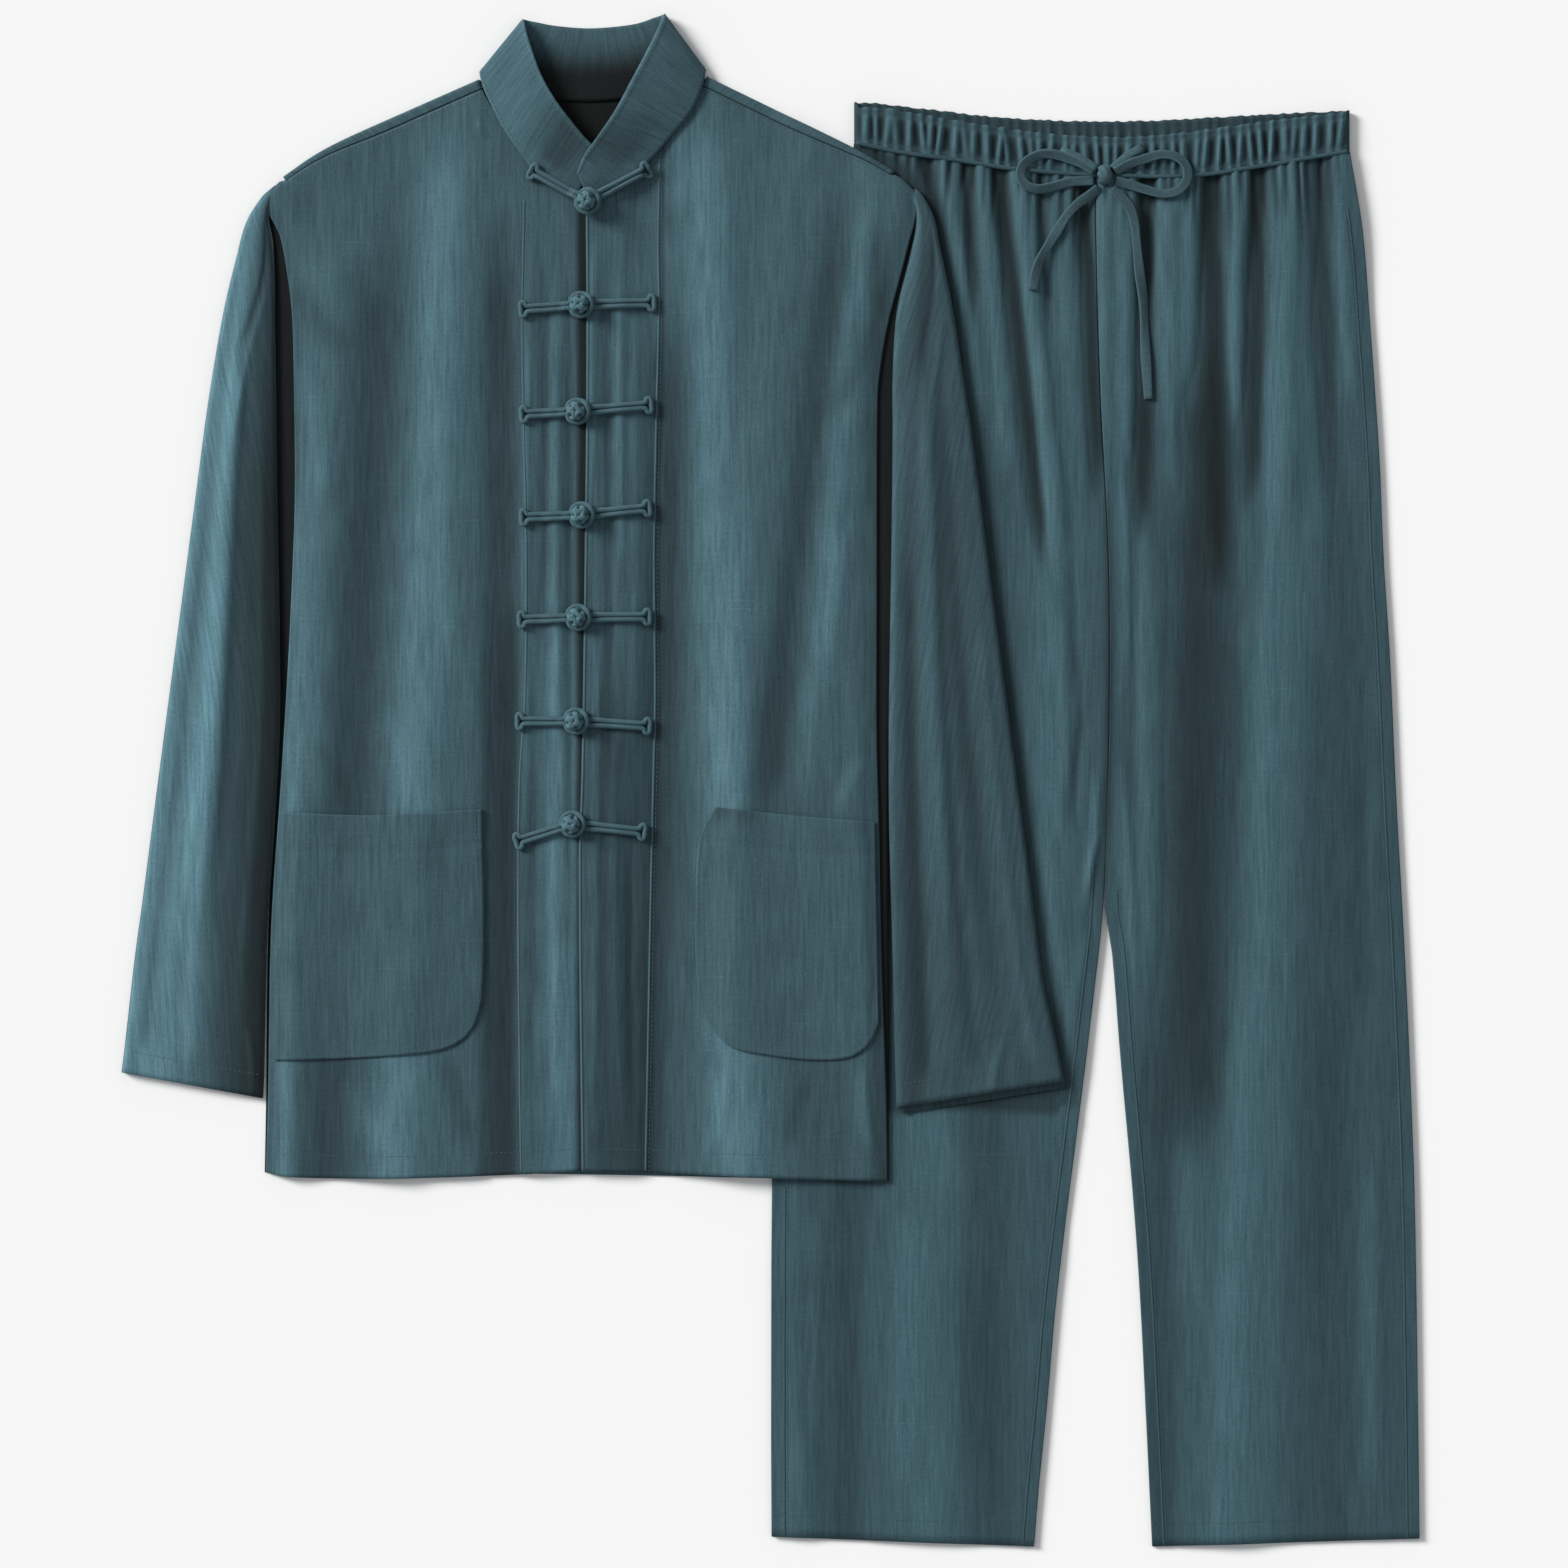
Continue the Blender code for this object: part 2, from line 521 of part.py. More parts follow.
def build_leg(side, hem, outer, inner, gathers, folds, columns):
    """The back and the gathered front of one leg."""
    left, right = (outer, inner) if side == "left" else (inner, outer)
    seam = Curve(WAIST_SEAM)
    start, end = left[-1].x, right[-1].x
    waist = Curve([Point(x, seam.y_at_x(x) - 2 * GAP) for x in [mix(start, end, t) for t in even(6)]])
    edges = (Curve(hem).at, waist.at, Curve(left).at, Curve(right).at)
    wall("trouser_back_" + side, patch(*edges, even(8), even(10), lambda x, y: 0.0), "trousers")

    def height(x, y):
        return trouser_height(x, y, gathers, folds)

    return wall("trouser_front_" + side, patch(*edges, even(columns), TROUSER_ROWS, height), "trousers")


def build_waistband():
    """The gathered casing: one flattened ring, its waves raised on the side that shows."""
    seam, front, back = Curve(WAIST_SEAM), Curve(WAIST_FRONT_TOP), Curve(WAIST_BACK_TOP)
    inner_front = WAIST_CLOTH + 0.9 * WAIST_WAVE + GAP
    height = inner_front + WAIST_CLOTH + 0.5 * WAIST_WAVE
    radius = height / 2
    left, right = seam.points[0].x + radius, seam.points[-1].x - radius
    stations = []
    steps = 3 * WAIST_GATHERS
    for i in range(steps + 1):
        x = mix(left, right, i / steps)
        wave = WAIST_WAVE * (0.5 + 0.5 * math.sin(math.tau * i / 3))
        low, high = seam.y_at_x(x) + GAP / 2, front.y_at_x(x)
        z = inner_front + WAIST_CLOTH
        stations.append([
            (x, low, z + 0.5 * wave), (x, mix(low, high, 0.5), z + wave), (x, high, z + 0.6 * wave),
            (x, high, inner_front), (x, low, inner_front)])

    def turn(end, middle, side):
        for angle in (135, 90, 45) if side > 0 else (45, 90, 135):
            a = math.radians(angle)
            low = seam.y_at_x(middle + side * radius * math.sin(a)) + GAP
            high = back.y_at_x(end)
            ring = []
            for y, r in ((low, radius), (mix(low, high, 0.5), radius), (high, radius),
                         (high, radius - WAIST_CLOTH), (low, radius - WAIST_CLOTH)):
                ring.append((middle + side * r * math.sin(a), y, radius - r * math.cos(a)))
            stations.append(ring)

    turn(right, right, 1)
    steps = 2 * WAIST_GATHERS
    for i in range(steps + 1):
        x = mix(right, left, i / steps)
        wave = 0.9 * WAIST_WAVE * (i % 2)
        low, high = seam.y_at_x(x) + GAP / 2, back.y_at_x(x)
        stations.append([
            (x, low, 0.0), (x, mix(low, high, 0.5), 0.0), (x, high, 0.0),
            (x, high, WAIST_CLOTH + wave), (x, low, WAIST_CLOTH + 0.5 * wave)])
    turn(left, left, -1)

    bm = bmesh.new()
    rings = [[bm.verts.new(p) for p in ring] for ring in stations]
    for i in range(len(rings)):
        for k in range(5):
            bm.faces.new((rings[i - 1][k], rings[i - 1][k - 1], rings[i][k - 1], rings[i][k]))
    return add_object("waistband", bm, "trousers")


BACK_COLUMNS = (5, 8, 6)
ROLL_ANGLES = (60, 120, 180)


def build_back():
    """The back, flat on its bed, whose shoulder strips roll over to the front."""
    radius = BODY_HEIGHT / 2
    shoulders = (Curve(SHOULDER_LEFT), Curve(SHOULDER_RIGHT))
    shares = [c / sum(BACK_COLUMNS) for c in BACK_COLUMNS]
    top = joined((inset(shoulders[0], radius), Curve(NECK_BACK).at, inset(shoulders[1], radius)), shares)
    rows = even(9)
    grid = patch(Curve(BACK_HEM).at, top, Curve(BACK_SIDE_LEFT + [Point(*top(0.0))]).at,
                 Curve(BACK_SIDE_RIGHT + [Point(*top(1.0))]).at, even(sum(BACK_COLUMNS)), rows, bed)
    bm = bmesh.new()
    verts = [[bm.verts.new(p) for p in row] for row in grid]
    for a, b in zip(verts, verts[1:]):
        for i in range(len(a) - 1):
            bm.faces.new((a[i], b[i], b[i + 1], a[i + 1]))
    spans = ((shoulders[0], 0, BACK_COLUMNS[0]), (shoulders[1], sum(BACK_COLUMNS[:2]), BACK_COLUMNS[2]))
    for curve, first, count in spans:
        last_row = verts[-1][first:first + count + 1]
        base = inset(curve, radius)
        outline = inset(curve, 0.0)
        for angle in ROLL_ANGLES + (None,):
            row = []
            for i in range(count + 1):
                bx, by = base(i / count)
                ox, oy = outline(i / count)
                nx, ny = (ox - bx) / radius, (oy - by) / radius
                if angle is None:
                    across, rise = -SHOULDER_STRIP, 2 * radius
                else:
                    across = radius * math.sin(math.radians(angle))
                    rise = radius * (1 - math.cos(math.radians(angle)))
                row.append(bm.verts.new((bx + nx * across, by + ny * across, bed(bx, by) + rise)))
            for i in range(count):
                bm.faces.new((last_row[i], row[i], row[i + 1], last_row[i + 1]))
            last_row = row
    return line_skin(add_object("jacket_back", bm, "jacket", closed=False), CLOTH)


def build_fronts():
    """The two fronts, the right one over the left one at the centre."""
    radius = BODY_HEIGHT / 2
    depth = radius + SHOULDER_STRIP + 3 * GAP
    left_seam = inset(Curve(SHOULDER_LEFT), depth)
    right_seam = inset(Curve(SHOULDER_RIGHT), depth)
    left_side = Curve(JACKET_SIDE_LEFT + [Point(*left_seam(0.0))])
    right_side = Curve(JACKET_SIDE_RIGHT + [Point(*right_seam(1.0))])
    rows = even(12)
    top_left = joined((left_seam, Curve(NECK_FRONT_LEFT).at), (0.6, 0.4))
    grid = patch(Curve(HEM_LEFT).at, top_left, left_side.at, Curve(CENTRE_LEFT).at,
                 even(20), rows, left_front_height)
    left = wall("jacket_front_left", grid, "jacket")
    top_right = joined((Curve(NECK_FRONT_RIGHT).at, right_seam), (0.4, 0.6))
    grid = patch(Curve(HEM_RIGHT).at, top_right, Curve(CENTRE_RIGHT).at, right_side.at,
                 even(20), rows, right_front_height)
    right = wall("jacket_front_right", grid, "jacket")
    return left, right


SLEEVE_TOP = (0.05, 0.14, 0.26, 0.39, 0.52, 0.65, 0.77, 0.87, 0.95)
SLEEVE_TUCK = 1.7
TUCK_WIDTH = 5.0


def build_sleeve(name, sections, step):
    """A sleeve: one flattened tube, its inner edge lying on the back of the body."""
    rings = []
    for number, row in enumerate(sections):
        outer, inner = Vector((row.outer_x, row.outer_y, 0)), Vector((row.inner_x, row.inner_y, 0))
        width = (inner - outer).length
        ahead = (inner - outer) / width
        half = row.height / 2
        tuck = min(TUCK_WIDTH, width * 0.2)
        profile = [(0.0, half), (0.3 * half, 0.3 * half), (half, 0.0), (0.4 * width, 0.0),
                   (width - 2.4 * tuck, 0.0), (width - tuck, SLEEVE_TUCK), (width - 1.2, SLEEVE_TUCK + 0.4),
                   (width, (SLEEVE_TUCK + row.height) * 0.48)]
        profile += [(t * width, row.height * (1 - 0.22 * smoothstep((t - 0.6) / 0.4)))
                    for t in reversed(SLEEVE_TOP)]
        ring = []
        for k, (along, z) in enumerate(profile):
            p = outer + ahead * along
            drop = step if number == len(sections) - 1 and 0 < k < 7 else 0.0
            ring.append((p.x, p.y - drop, bed(p.x, p.y) + z))
        rings.append(ring)
    return skin(name, rings, "jacket", CLOTH, closed=True, flip=sections[0].outer_x > sections[0].inner_x)


def build_collar():
    """The stand collar: one band round the neck, its right end over its left end."""
    knots = list(range(len(COLLAR)))
    neck = Curve(NECK_BACK)
    steps = 2 * (len(COLLAR) - 1)
    rings = []
    for i in range(steps + 1):
        at = i / 2
        row = [hermite([getattr(s, field) for s in COLLAR], knots, at) for field in Station._fields]
        row[2], row[5] = max(row[2], 0.0), max(row[5], 0.0)
        seam, edge = Vector(row[:3]), Vector(row[3:])
        ring = []
        if seam.z < LAYER:
            seam.y = max(seam.y, neck.y_at_x(seam.x) + 2 * GAP)
        for v in (0.0, 0.35, 0.7, 1.0):
            ring.append(tuple(seam.lerp(edge, v)))
        rings.append(ring)
    return skin("collar", rings, "jacket", COLLAR_CLOTH, closed=False)


def build_pocket(name, outline, surface):
    """A patch pocket laid on the front; its rounded corner is split between two edges."""
    top = [p for p in outline[:3]]
    around = outline[2:]
    split = len(around) // 2
    if name.endswith("left"):
        side, foot = around[:split][::-1], around[split - 1:][::-1]
        edges = (Curve(foot).at, Curve(top).at, Curve([foot[0], top[0]]).at, Curve(side).at)
    else:
        side, foot = around[:split][::-1], around[split - 1:]
        edges = (Curve(foot).at, Curve(top[::-1]).at, Curve(side).at, Curve([foot[-1], top[0]]).at)
    grid = patch(*edges, even(9), even(8), lambda x, y: surface.top(x, y, 1.0) + GAP)
    return wall(name, settle(grid, surface, 2 * GAP), "jacket")


FOOT = ((3.9, 1.85), (1.7, 3.4), (-0.5, 3.5), (-1.7, 1.5))
RING_ANGLES = (166, 135, 100, 62, 30, 0, -30, -62, -100, -135, -166)
BALL_GAP = 6.2


def build_frog(number, frog, surface):
    """A frog: the loop half round the knotted ball, the ball, and the knot half under the loop."""
    radius = CORD / 2
    ball = Vector((frog.ball_x, frog.ball_y, 0))
    ring_radius = KNOT_BALL / 2 + radius + 0.4
    base = surface.top(ball.x, ball.y, 7.0)

    def cord(name, foot, points):
        path = []
        ahead = (ball - foot).normalized()
        across = Vector((-ahead.y, ahead.x, 0))
        for along, aside, lift in points:
            p = foot + ahead * along + across * aside
            near = max(surface.top(p.x, p.y, 1.8 * radius), base if (p - ball).length < 12.0 else 0.0)
            path.append((p.x, p.y, near + GAP + radius + lift))
        return tube(name, path, radius, 5, "trim")

    tag = "frog_%d_" % number
    foot = Vector((frog.left_x, frog.left_y, 0))
    reach = (ball - foot).length
    half = FROG_SPREAD / 2
    points = [(x, y, 0.0) for x, y in FOOT]
    points = points[::-1] + [(reach * 0.45, half, 0.0)]
    knot_way = Vector((frog.right_x, frog.right_y, 0)) - ball
    loop_way = ball - foot
    crossing = math.degrees(math.atan2(loop_way.cross(knot_way).z, loop_way.dot(knot_way)))
    for angle in RING_ANGLES:
        a = math.radians(angle)
        lift = (CORD + GAP) * smoothstep((75 - abs(angle - crossing)) / 40)
        points.append((reach + ring_radius * math.cos(a), ring_radius * math.sin(a), lift))
    points += [(reach * 0.45, -half, 0.0)] + [(x, -y, 0.0) for x, y in FOOT]
    cord(tag + "loop", foot, points)

    foot = Vector((frog.right_x, frog.right_y, 0))
    reach = (ball - foot).length - BALL_GAP
    points = [(x, y, 0.0) for x, y in reversed(FOOT)]
    points += [(reach * 0.5, half, 0.0), (reach - 1.6, half, 0.0), (reach, 0.0, 0.0),
               (reach - 1.6, -half, 0.0), (reach * 0.5, -half, 0.0)]
    points += [(x, -y, 0.0) for x, y in FOOT]
    cord(tag + "knot", foot, points)

    bm = bmesh.new()
    bmesh.ops.create_uvsphere(bm, u_segments=10, v_segments=7, radius=KNOT_BALL / 2)
    bmesh.ops.translate(bm, vec=(ball.x, ball.y, base + GAP + KNOT_BALL / 2), verts=bm.verts)
    add_object(tag + "ball", bm, "trim")


def build_tape(bow, surface):
    """One stretch of the drawstring, a curve with a round bevel, laid on the gathers."""
    route = Curve(bow.route)
    count = max(10, round(route.length / (1.9 * TAPE)))
    data = bpy.data.curves.new(bow.name, "CURVE")
    data.dimensions = "3D"
    data.bevel_depth = TAPE / 2 * MM
    data.bevel_resolution = 2
    data.use_fill_caps = True
    spline = data.splines.new("POLY")
    spline.points.add(count)
    heights = []
    for i in range(count + 1):
        x, y = route.at(i / count)
        heights.append(surface.top(x, y, TAPE / 2) + bow.lift + TAPE / 2)
    for i in range(count + 1):
        x, y = route.at(i / count)
        z = max(heights[max(i - 1, 0):i + 2])
        spline.points[i].co = (x * MM, y * MM, z * MM, 1.0)
    data.materials.append(cloth_material("trim"))
    thing = bpy.data.objects.new(bow.name, data)
    bpy.context.scene.collection.objects.link(thing)
    return thing


def build_bow(surface):
    """The tied bow: its knot, two loops and two free tails."""
    base = surface.top(BOW_KNOT.x, BOW_KNOT.y, 5.0)
    bm = bmesh.new()
    bmesh.ops.create_uvsphere(bm, u_segments=14, v_segments=9, radius=1.0)
    bmesh.ops.scale(bm, vec=(6.2, 5.6, 4.2), verts=bm.verts)
    bmesh.ops.translate(bm, vec=(BOW_KNOT.x, BOW_KNOT.y, base + GAP + 4.2), verts=bm.verts)
    add_object("drawstring_knot", bm, "trim")
    for bow in BOW_CORDS:
        build_tape(bow, surface)


def main():
    clear_scene()
    leg_left = build_leg("left", TROUSER_HEM_LEFT, TROUSER_OUTER_LEFT, TROUSER_INNER_LEFT,
                         GATHERS_LEFT, LEG_FOLDS_LEFT, 26)
    leg_right = build_leg("right", TROUSER_HEM_RIGHT, TROUSER_OUTER_RIGHT, TROUSER_INNER_RIGHT,
                          GATHERS_RIGHT, LEG_FOLDS_RIGHT, 30)
    waistband = build_waistband()
    build_bow(Surface(leg_left, leg_right, waistband))
    build_back()
    front_left, front_right = build_fronts()
    build_sleeve("sleeve_left", SLEEVE_LEFT, 0.0)
    build_sleeve("sleeve_right", SLEEVE_RIGHT, 5.0)
    build_collar()
    build_pocket("pocket_left", POCKET_LEFT, Surface(front_left))
    build_pocket("pocket_right", POCKET_RIGHT, Surface(front_right))
    fronts = Surface(front_left, front_right, bpy.data.objects["collar"])
    for number, frog in enumerate(FROGS, start=1):
        build_frog(number, frog, fronts)


main()
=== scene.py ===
"""Dresses the tai chi uniform: a jacket with frog fastenings, lying partly over drawstring trousers.

The cut, the folds and the routes are tables in millimetres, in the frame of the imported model: X to the
right, Y towards the collar and the waistband, Z up from the surface that the set lies on.
"""
import math
from collections import namedtuple

import bmesh
import bpy
import numpy as np
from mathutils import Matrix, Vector
from mathutils.bvhtree import BVHTree


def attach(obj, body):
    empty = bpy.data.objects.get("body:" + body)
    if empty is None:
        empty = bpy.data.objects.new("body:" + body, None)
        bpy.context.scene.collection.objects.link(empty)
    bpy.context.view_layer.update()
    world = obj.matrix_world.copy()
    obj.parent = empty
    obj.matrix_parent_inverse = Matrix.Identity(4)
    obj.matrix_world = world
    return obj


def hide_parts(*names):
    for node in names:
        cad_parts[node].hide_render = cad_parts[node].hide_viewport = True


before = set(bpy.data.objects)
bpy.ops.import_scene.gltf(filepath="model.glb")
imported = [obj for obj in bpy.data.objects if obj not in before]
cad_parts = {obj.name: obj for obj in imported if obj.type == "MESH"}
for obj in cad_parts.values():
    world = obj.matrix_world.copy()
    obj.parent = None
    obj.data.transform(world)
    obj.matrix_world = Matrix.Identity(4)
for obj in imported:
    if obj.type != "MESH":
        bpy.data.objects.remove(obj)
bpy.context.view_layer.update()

bl_info = {
    "name": "Tai chi uniform",
    "version": (1, 0, 0),
    "blender": (4, 5, 0),
    "location": "View3D > Sidebar > Uniform",
    "description": "Cloth, cords, stitching and stage for a jacket and trousers laid flat",
    "category": "Object",
}

MM = 0.001
CLOTH = 1.2
GAP = 0.3
LAYER = CLOTH + GAP
TROUSER_STACK = 2 * LAYER
BODY_LOFT = 2.2
BODY_HEIGHT = LAYER + BODY_LOFT + CLOTH
RAMP_START = 62.0
RAMP_WIDTH = 30.0
CENTRE_X = -132.0
LAP_X = -108.0
LAP_RAMP = 12.0
PLACKET_HALF = 34.0
EDGE_ROUND = 16.0
SHOULDER_STRIP = 4.6
COLLAR_CLOTH = 1.6
POCKET_CLOTH = 1.1
KNOT_BALL = 11.6
FROG_SPREAD = 3.5
WAIST_GATHERS = 44
WAIST_CLOTH = 2.2
WAIST_WAVE = 1.7
REST_LOFT = 0.8
WAIST_LOFT = 2.6
SLEEVE_TUCK = 1.7
TUCK_WIDTH = 5.0
THREAD_LIFT = 0.05
JACKET_HEM_DEPTH = 16.0
TROUSER_HEM_DEPTH = 15.5

# The yarns' spacing, the camera's sensor in mm, where it looks and where the key light comes from
WARP_PITCH = 0.0011
WEFT_PITCH = 0.0013
SENSOR = 36.0
FRAME_CENTRE = (0.009585, -0.002485)
KEY_FROM = (-0.88, 0.50, 0.52)

Fold = namedtuple("Fold", "top_x top_y foot_x foot_y width height")
Crease = namedtuple("Crease", "x0 y0 x1 y1 width height bow")
Section = namedtuple("Section", "outer_x outer_y inner_x inner_y height")
Station = namedtuple("Station", "seam_x seam_y seam_z edge_x edge_y edge_z")
Frog = namedtuple("Frog", "ball_x ball_y left_x left_y right_x right_y")

# Edges of the cut: x, y, and a third value where the line has a corner
JACKET_SIDE_LEFT = [
    (-358, -278), (-356.5, -225), (-355, -127), (-353, -80), (-348, -10), (-343, 70), (-340, 130),
    (-337.5, 200), (-338, 270), (-339.5, 330), (-343, 360), (-348, 386), (-355, 400), (-360.5, 407.5)]
JACKET_SIDE_RIGHT = [
    (83, -284), (82, -220), (79, -135), (77, -30), (75.5, 30), (75.5, 130), (76, 270), (78, 292),
    (83, 322), (92, 357), (98.5, 382), (103.5, 402), (103, 417)]
BACK_SIDE_LEFT = [
    (-359, -278), (-358, -225), (-357, -127), (-355.5, -85), (-352, -20), (-348.5, 60), (-349, 130),
    (-351, 200), (-353.5, 270), (-352.5, 330), (-352, 362), (-353.5, 386), (-356.5, 405)]
BACK_SIDE_RIGHT = [
    (84, -284), (84, -200), (84, -30), (85.5, 60), (88, 130), (90, 200), (93, 260), (97, 310),
    (101, 362), (102.5, 404)]
HEM_LEFT = [
    (-358, -278), (-345, -281), (-291, -282.5), (-249, -282), (-178, -279.5), (-128, -276.5),
    (-108, -276)]
HEM_RIGHT = [(-134, -277), (-93, -278), (-40, -280), (20, -282.5), (83, -284)]
BACK_HEM = [(-359, -278), (-138, -279.5), (84, -284)]
SHOULDER_LEFT = [(-346, 428.5), (-324, 443.5), (-303.5, 454.5), (-260, 474), (-207, 497.4)]
SHOULDER_RIGHT = [(-45, 499.5), (10.3, 472.5), (63.5, 446.2), (88, 432)]
CORNER_LEFT = [(-360.5, 407.5), (-354.5, 418), (-347, 425.8)]
CORNER_RIGHT = [(87.5, 429.6), (95.5, 424.5), (103, 417)]
NECK_BACK = [
    (-207, 497.4), (-195, 494.5), (-172, 488.5), (-127, 484.5), (-80, 490), (-57, 496.5), (-45, 499.5)]
NECK_FRONT_LEFT = [
    (-201.6, 484.7), (-196, 475), (-186, 463), (-170, 445.5), (-158, 434), (-145, 425), (-128, 418),
    (-108, 416)]
NECK_FRONT_RIGHT = [
    (-131, 410), (-122, 416), (-112, 421), (-97, 431), (-82, 445), (-68, 461), (-57, 476),
    (-51, 487.2)]
CENTRE_LEFT = [(-108, -276), (-108, 416)]
CENTRE_RIGHT = [(-134, -277), (-136, -56), (-134, 8), (-131.7, 162), (-130.5, 304), (-131, 410)]

# The edges of the doubled cloth beside the opening
PLACKET_LEFT = [
    (-174.5, 412), (-176, 330), (-175, 250), (-173, 160), (-174, 60), (-178, 0), (-179, -90), (-178, -200),
    (-177, -278)]
PLACKET_RIGHT = [
    (-78.5, 446), (-79.5, 380), (-79, 340), (-81, 250), (-82.5, 160), (-81.8, 60), (-83, 0), (-85, -90),
    (-87, -200), (-88.5, -277)]

# Broad soft folds: from, to, half width, height; ridges positive and troughs negative. They also set painted
# shade and highlight on the fronts: the first left fold and the last right fold lie where the sides round
# off, so they are mostly a painted highlight on the left side and a painted shade on the right side.
FOLDS_LEFT = [
    Fold(-339, 150, -344, -276, 9, 1.6), Fold(-277, 320, -312, -270, 18, -2.2),
    Fold(-317, 330, -322, 30, 15, 1.0), Fold(-229, 410, -264, -270, 19, 2.4),
    Fold(-190, 330, -189, -270, 12, -2.4), Fold(-189, 60, -193, -276, 12, -1.8),
    Fold(-150, 60, -148, -276, 11, 1.8)]
FOLDS_RIGHT = [
    Fold(-70, 260, -86, -276, 16, -2.6), Fold(-112, 20, -114, -276, 15, -2.4),
    Fold(-46, 410, -20, -270, 19, 2.3), Fold(43, 340, 2, 20, 13, -1.9), Fold(66, 380, 28, 30, 12, 1.3),
    Fold(8, 60, 44, -270, 20, -0.9), Fold(79, 330, 82, -280, 8, -2.4)]
# Small creases: from, to, half width, height, sideways bow
CREASES_LEFT = [
    Crease(-170, 400, -172, -60, 3.6, 0.9, 1.5), Crease(-160, 395, -162, 60, 4.2, -0.9, -2.0),
    Crease(-150, 392, -151, -20, 4.6, 1.0, 1.0), Crease(-141, 400, -142, -200, 3.6, -1.1, 0.5),
    Crease(-166, 60, -168, -262, 5.0, -0.9, 2.0), Crease(-155, 20, -152, -255, 5.5, 0.8, -2.0),
    Crease(-208, 470, -203, 455, 2.2, 0.9, 1.0), Crease(-211, 462, -196, 456, 2.4, -0.7, 0.5),
    Crease(-336, 360, -290, 300, 12, -0.9, 7.0), Crease(-330, 300, -318, 180, 9, 0.7, -5.0),
    Crease(-268, 60, -238, -18, 12, 0.7, 9.0), Crease(-234, 210, -216, 60, 11, 0.6, 5.0),
    Crease(-325, 30, -300, -20, 9, -0.6, -6.0), Crease(-300, -205, -262, -268, 12, 0.7, 6.0),
    Crease(-233, -190, -215, -268, 10, -0.9, -6.0), Crease(-290, 420, -262, 330, 14, 0.5, 8.0)]
CREASES_RIGHT = [
    Crease(-124, 405, -125, 180, 4.2, 0.9, 1.0), Crease(-116, 398, -114, -40, 4.6, -0.9, -1.5),
    Crease(-106, 400, -104, 130, 4.4, 0.9, 1.5), Crease(-96, 410, -98, -60, 5.0, 0.7, -1.0),
    Crease(-123, 160, -126, -262, 4.6, 0.8, -1.5), Crease(-110, 60, -107, -258, 5.2, 0.8, 2.0),
    Crease(-99, -20, -97, -262, 4.0, -0.8, 1.0), Crease(-62, 470, -58, 400, 8, 0.5, 3.0),
    Crease(72, 330, 40, 250, 10, -0.8, -6.0), Crease(60, 200, 44, 60, 10, 0.8, 5.0),
    Crease(-40, 60, -30, -18, 10, 0.8, -6.0), Crease(0, 150, 12, 30, 12, 0.6, 6.0),
    Crease(70, 20, 52, -24, 7, 0.9, 4.0), Crease(34, -205, 20, -272, 10, -0.8, 6.0),
    Crease(-34, -200, -44, -270, 9, 0.8, -5.0), Crease(66, -196, 74, -270, 6, 0.8, 3.0)]

SLEEVE_LEFT = [
    Section(-351.5, 422.3, -351, 414, 2.2), Section(-355.5, 419, -354.5, 410, 3.2),
    Section(-361, 414, -356, 401, 4.2), Section(-371.7, 397, -354, 387, 5.0),
    Section(-379, 371, -351.8, 362, 5.6), Section(-388, 333, -351.3, 326, 6.0),
    Section(-398.7, 270, -350.5, 264, 6.2), Section(-408.6, 196, -349.5, 188, 6.2),
    Section(-418, 125, -348.2, 114, 6.0), Section(-427, 57, -347.8, 43, 6.0),
    Section(-436.3, -14, -351.5, -30, 5.8), Section(-445.5, -85, -356.5, -103, 5.8),
    Section(-451.2, -127, -357.8, -147, 5.8), Section(-458.3, -190, -359, -208, 5.8),
    Section(-460.5, -207, -359.8, -225.5, 5.8)]
SLEEVE_RIGHT = [
    Section(102.5, 420, 101.5, 411, 3.2),
    Section(107, 416, 103.5, 403, 4.2), Section(115.4, 401, 102.6, 389, 4.8),
    Section(120.3, 379, 98.5, 370, 5.2), Section(129, 337, 89.5, 332, 5.8),
    Section(136.7, 288, 86.5, 286, 6.0), Section(142.4, 251, 86.5, 247, 6.2),
    Section(149.5, 196, 86, 188, 6.2), Section(158.7, 125, 84.8, 114, 6.0),
    Section(167.6, 57, 83.8, 43, 6.0), Section(177, -14, 84.0, -29, 5.8),
    Section(186.1, -85, 86, -103, 5.8), Section(193.5, -142, 87.4, -156, 5.8),
    Section(200.6, -174, 88.3, -198, 5.8), Section(208.4, -213, 89.3, -232, 6.0)]
# Sleeve creases: across (0 outer, 1 inner) and along (0 shoulder, 1 cuff), with half width in mm
SLEEVE_CREASES_LEFT = [
    Crease(0.30, 0.06, 0.34, 0.90, 9.0, 1.1, 3.0), Crease(0.62, 0.10, 0.60, 0.86, 8.0, -1.5, -4.0),
    Crease(0.16, 0.28, 0.14, 0.98, 6.0, -0.8, 2.0), Crease(0.48, 0.34, 0.47, 0.99, 7.0, 0.9, -3.0),
    Crease(0.76, 0.22, 0.80, 0.97, 6.0, 0.9, 4.0), Crease(0.70, 0.02, 0.30, 0.20, 6.0, -0.9, 6.0),
    Crease(0.90, 0.10, 0.42, 0.30, 5.0, 0.7, -6.0), Crease(0.86, 0.92, 0.92, 1.0, 3.0, 1.2, 2.0)]
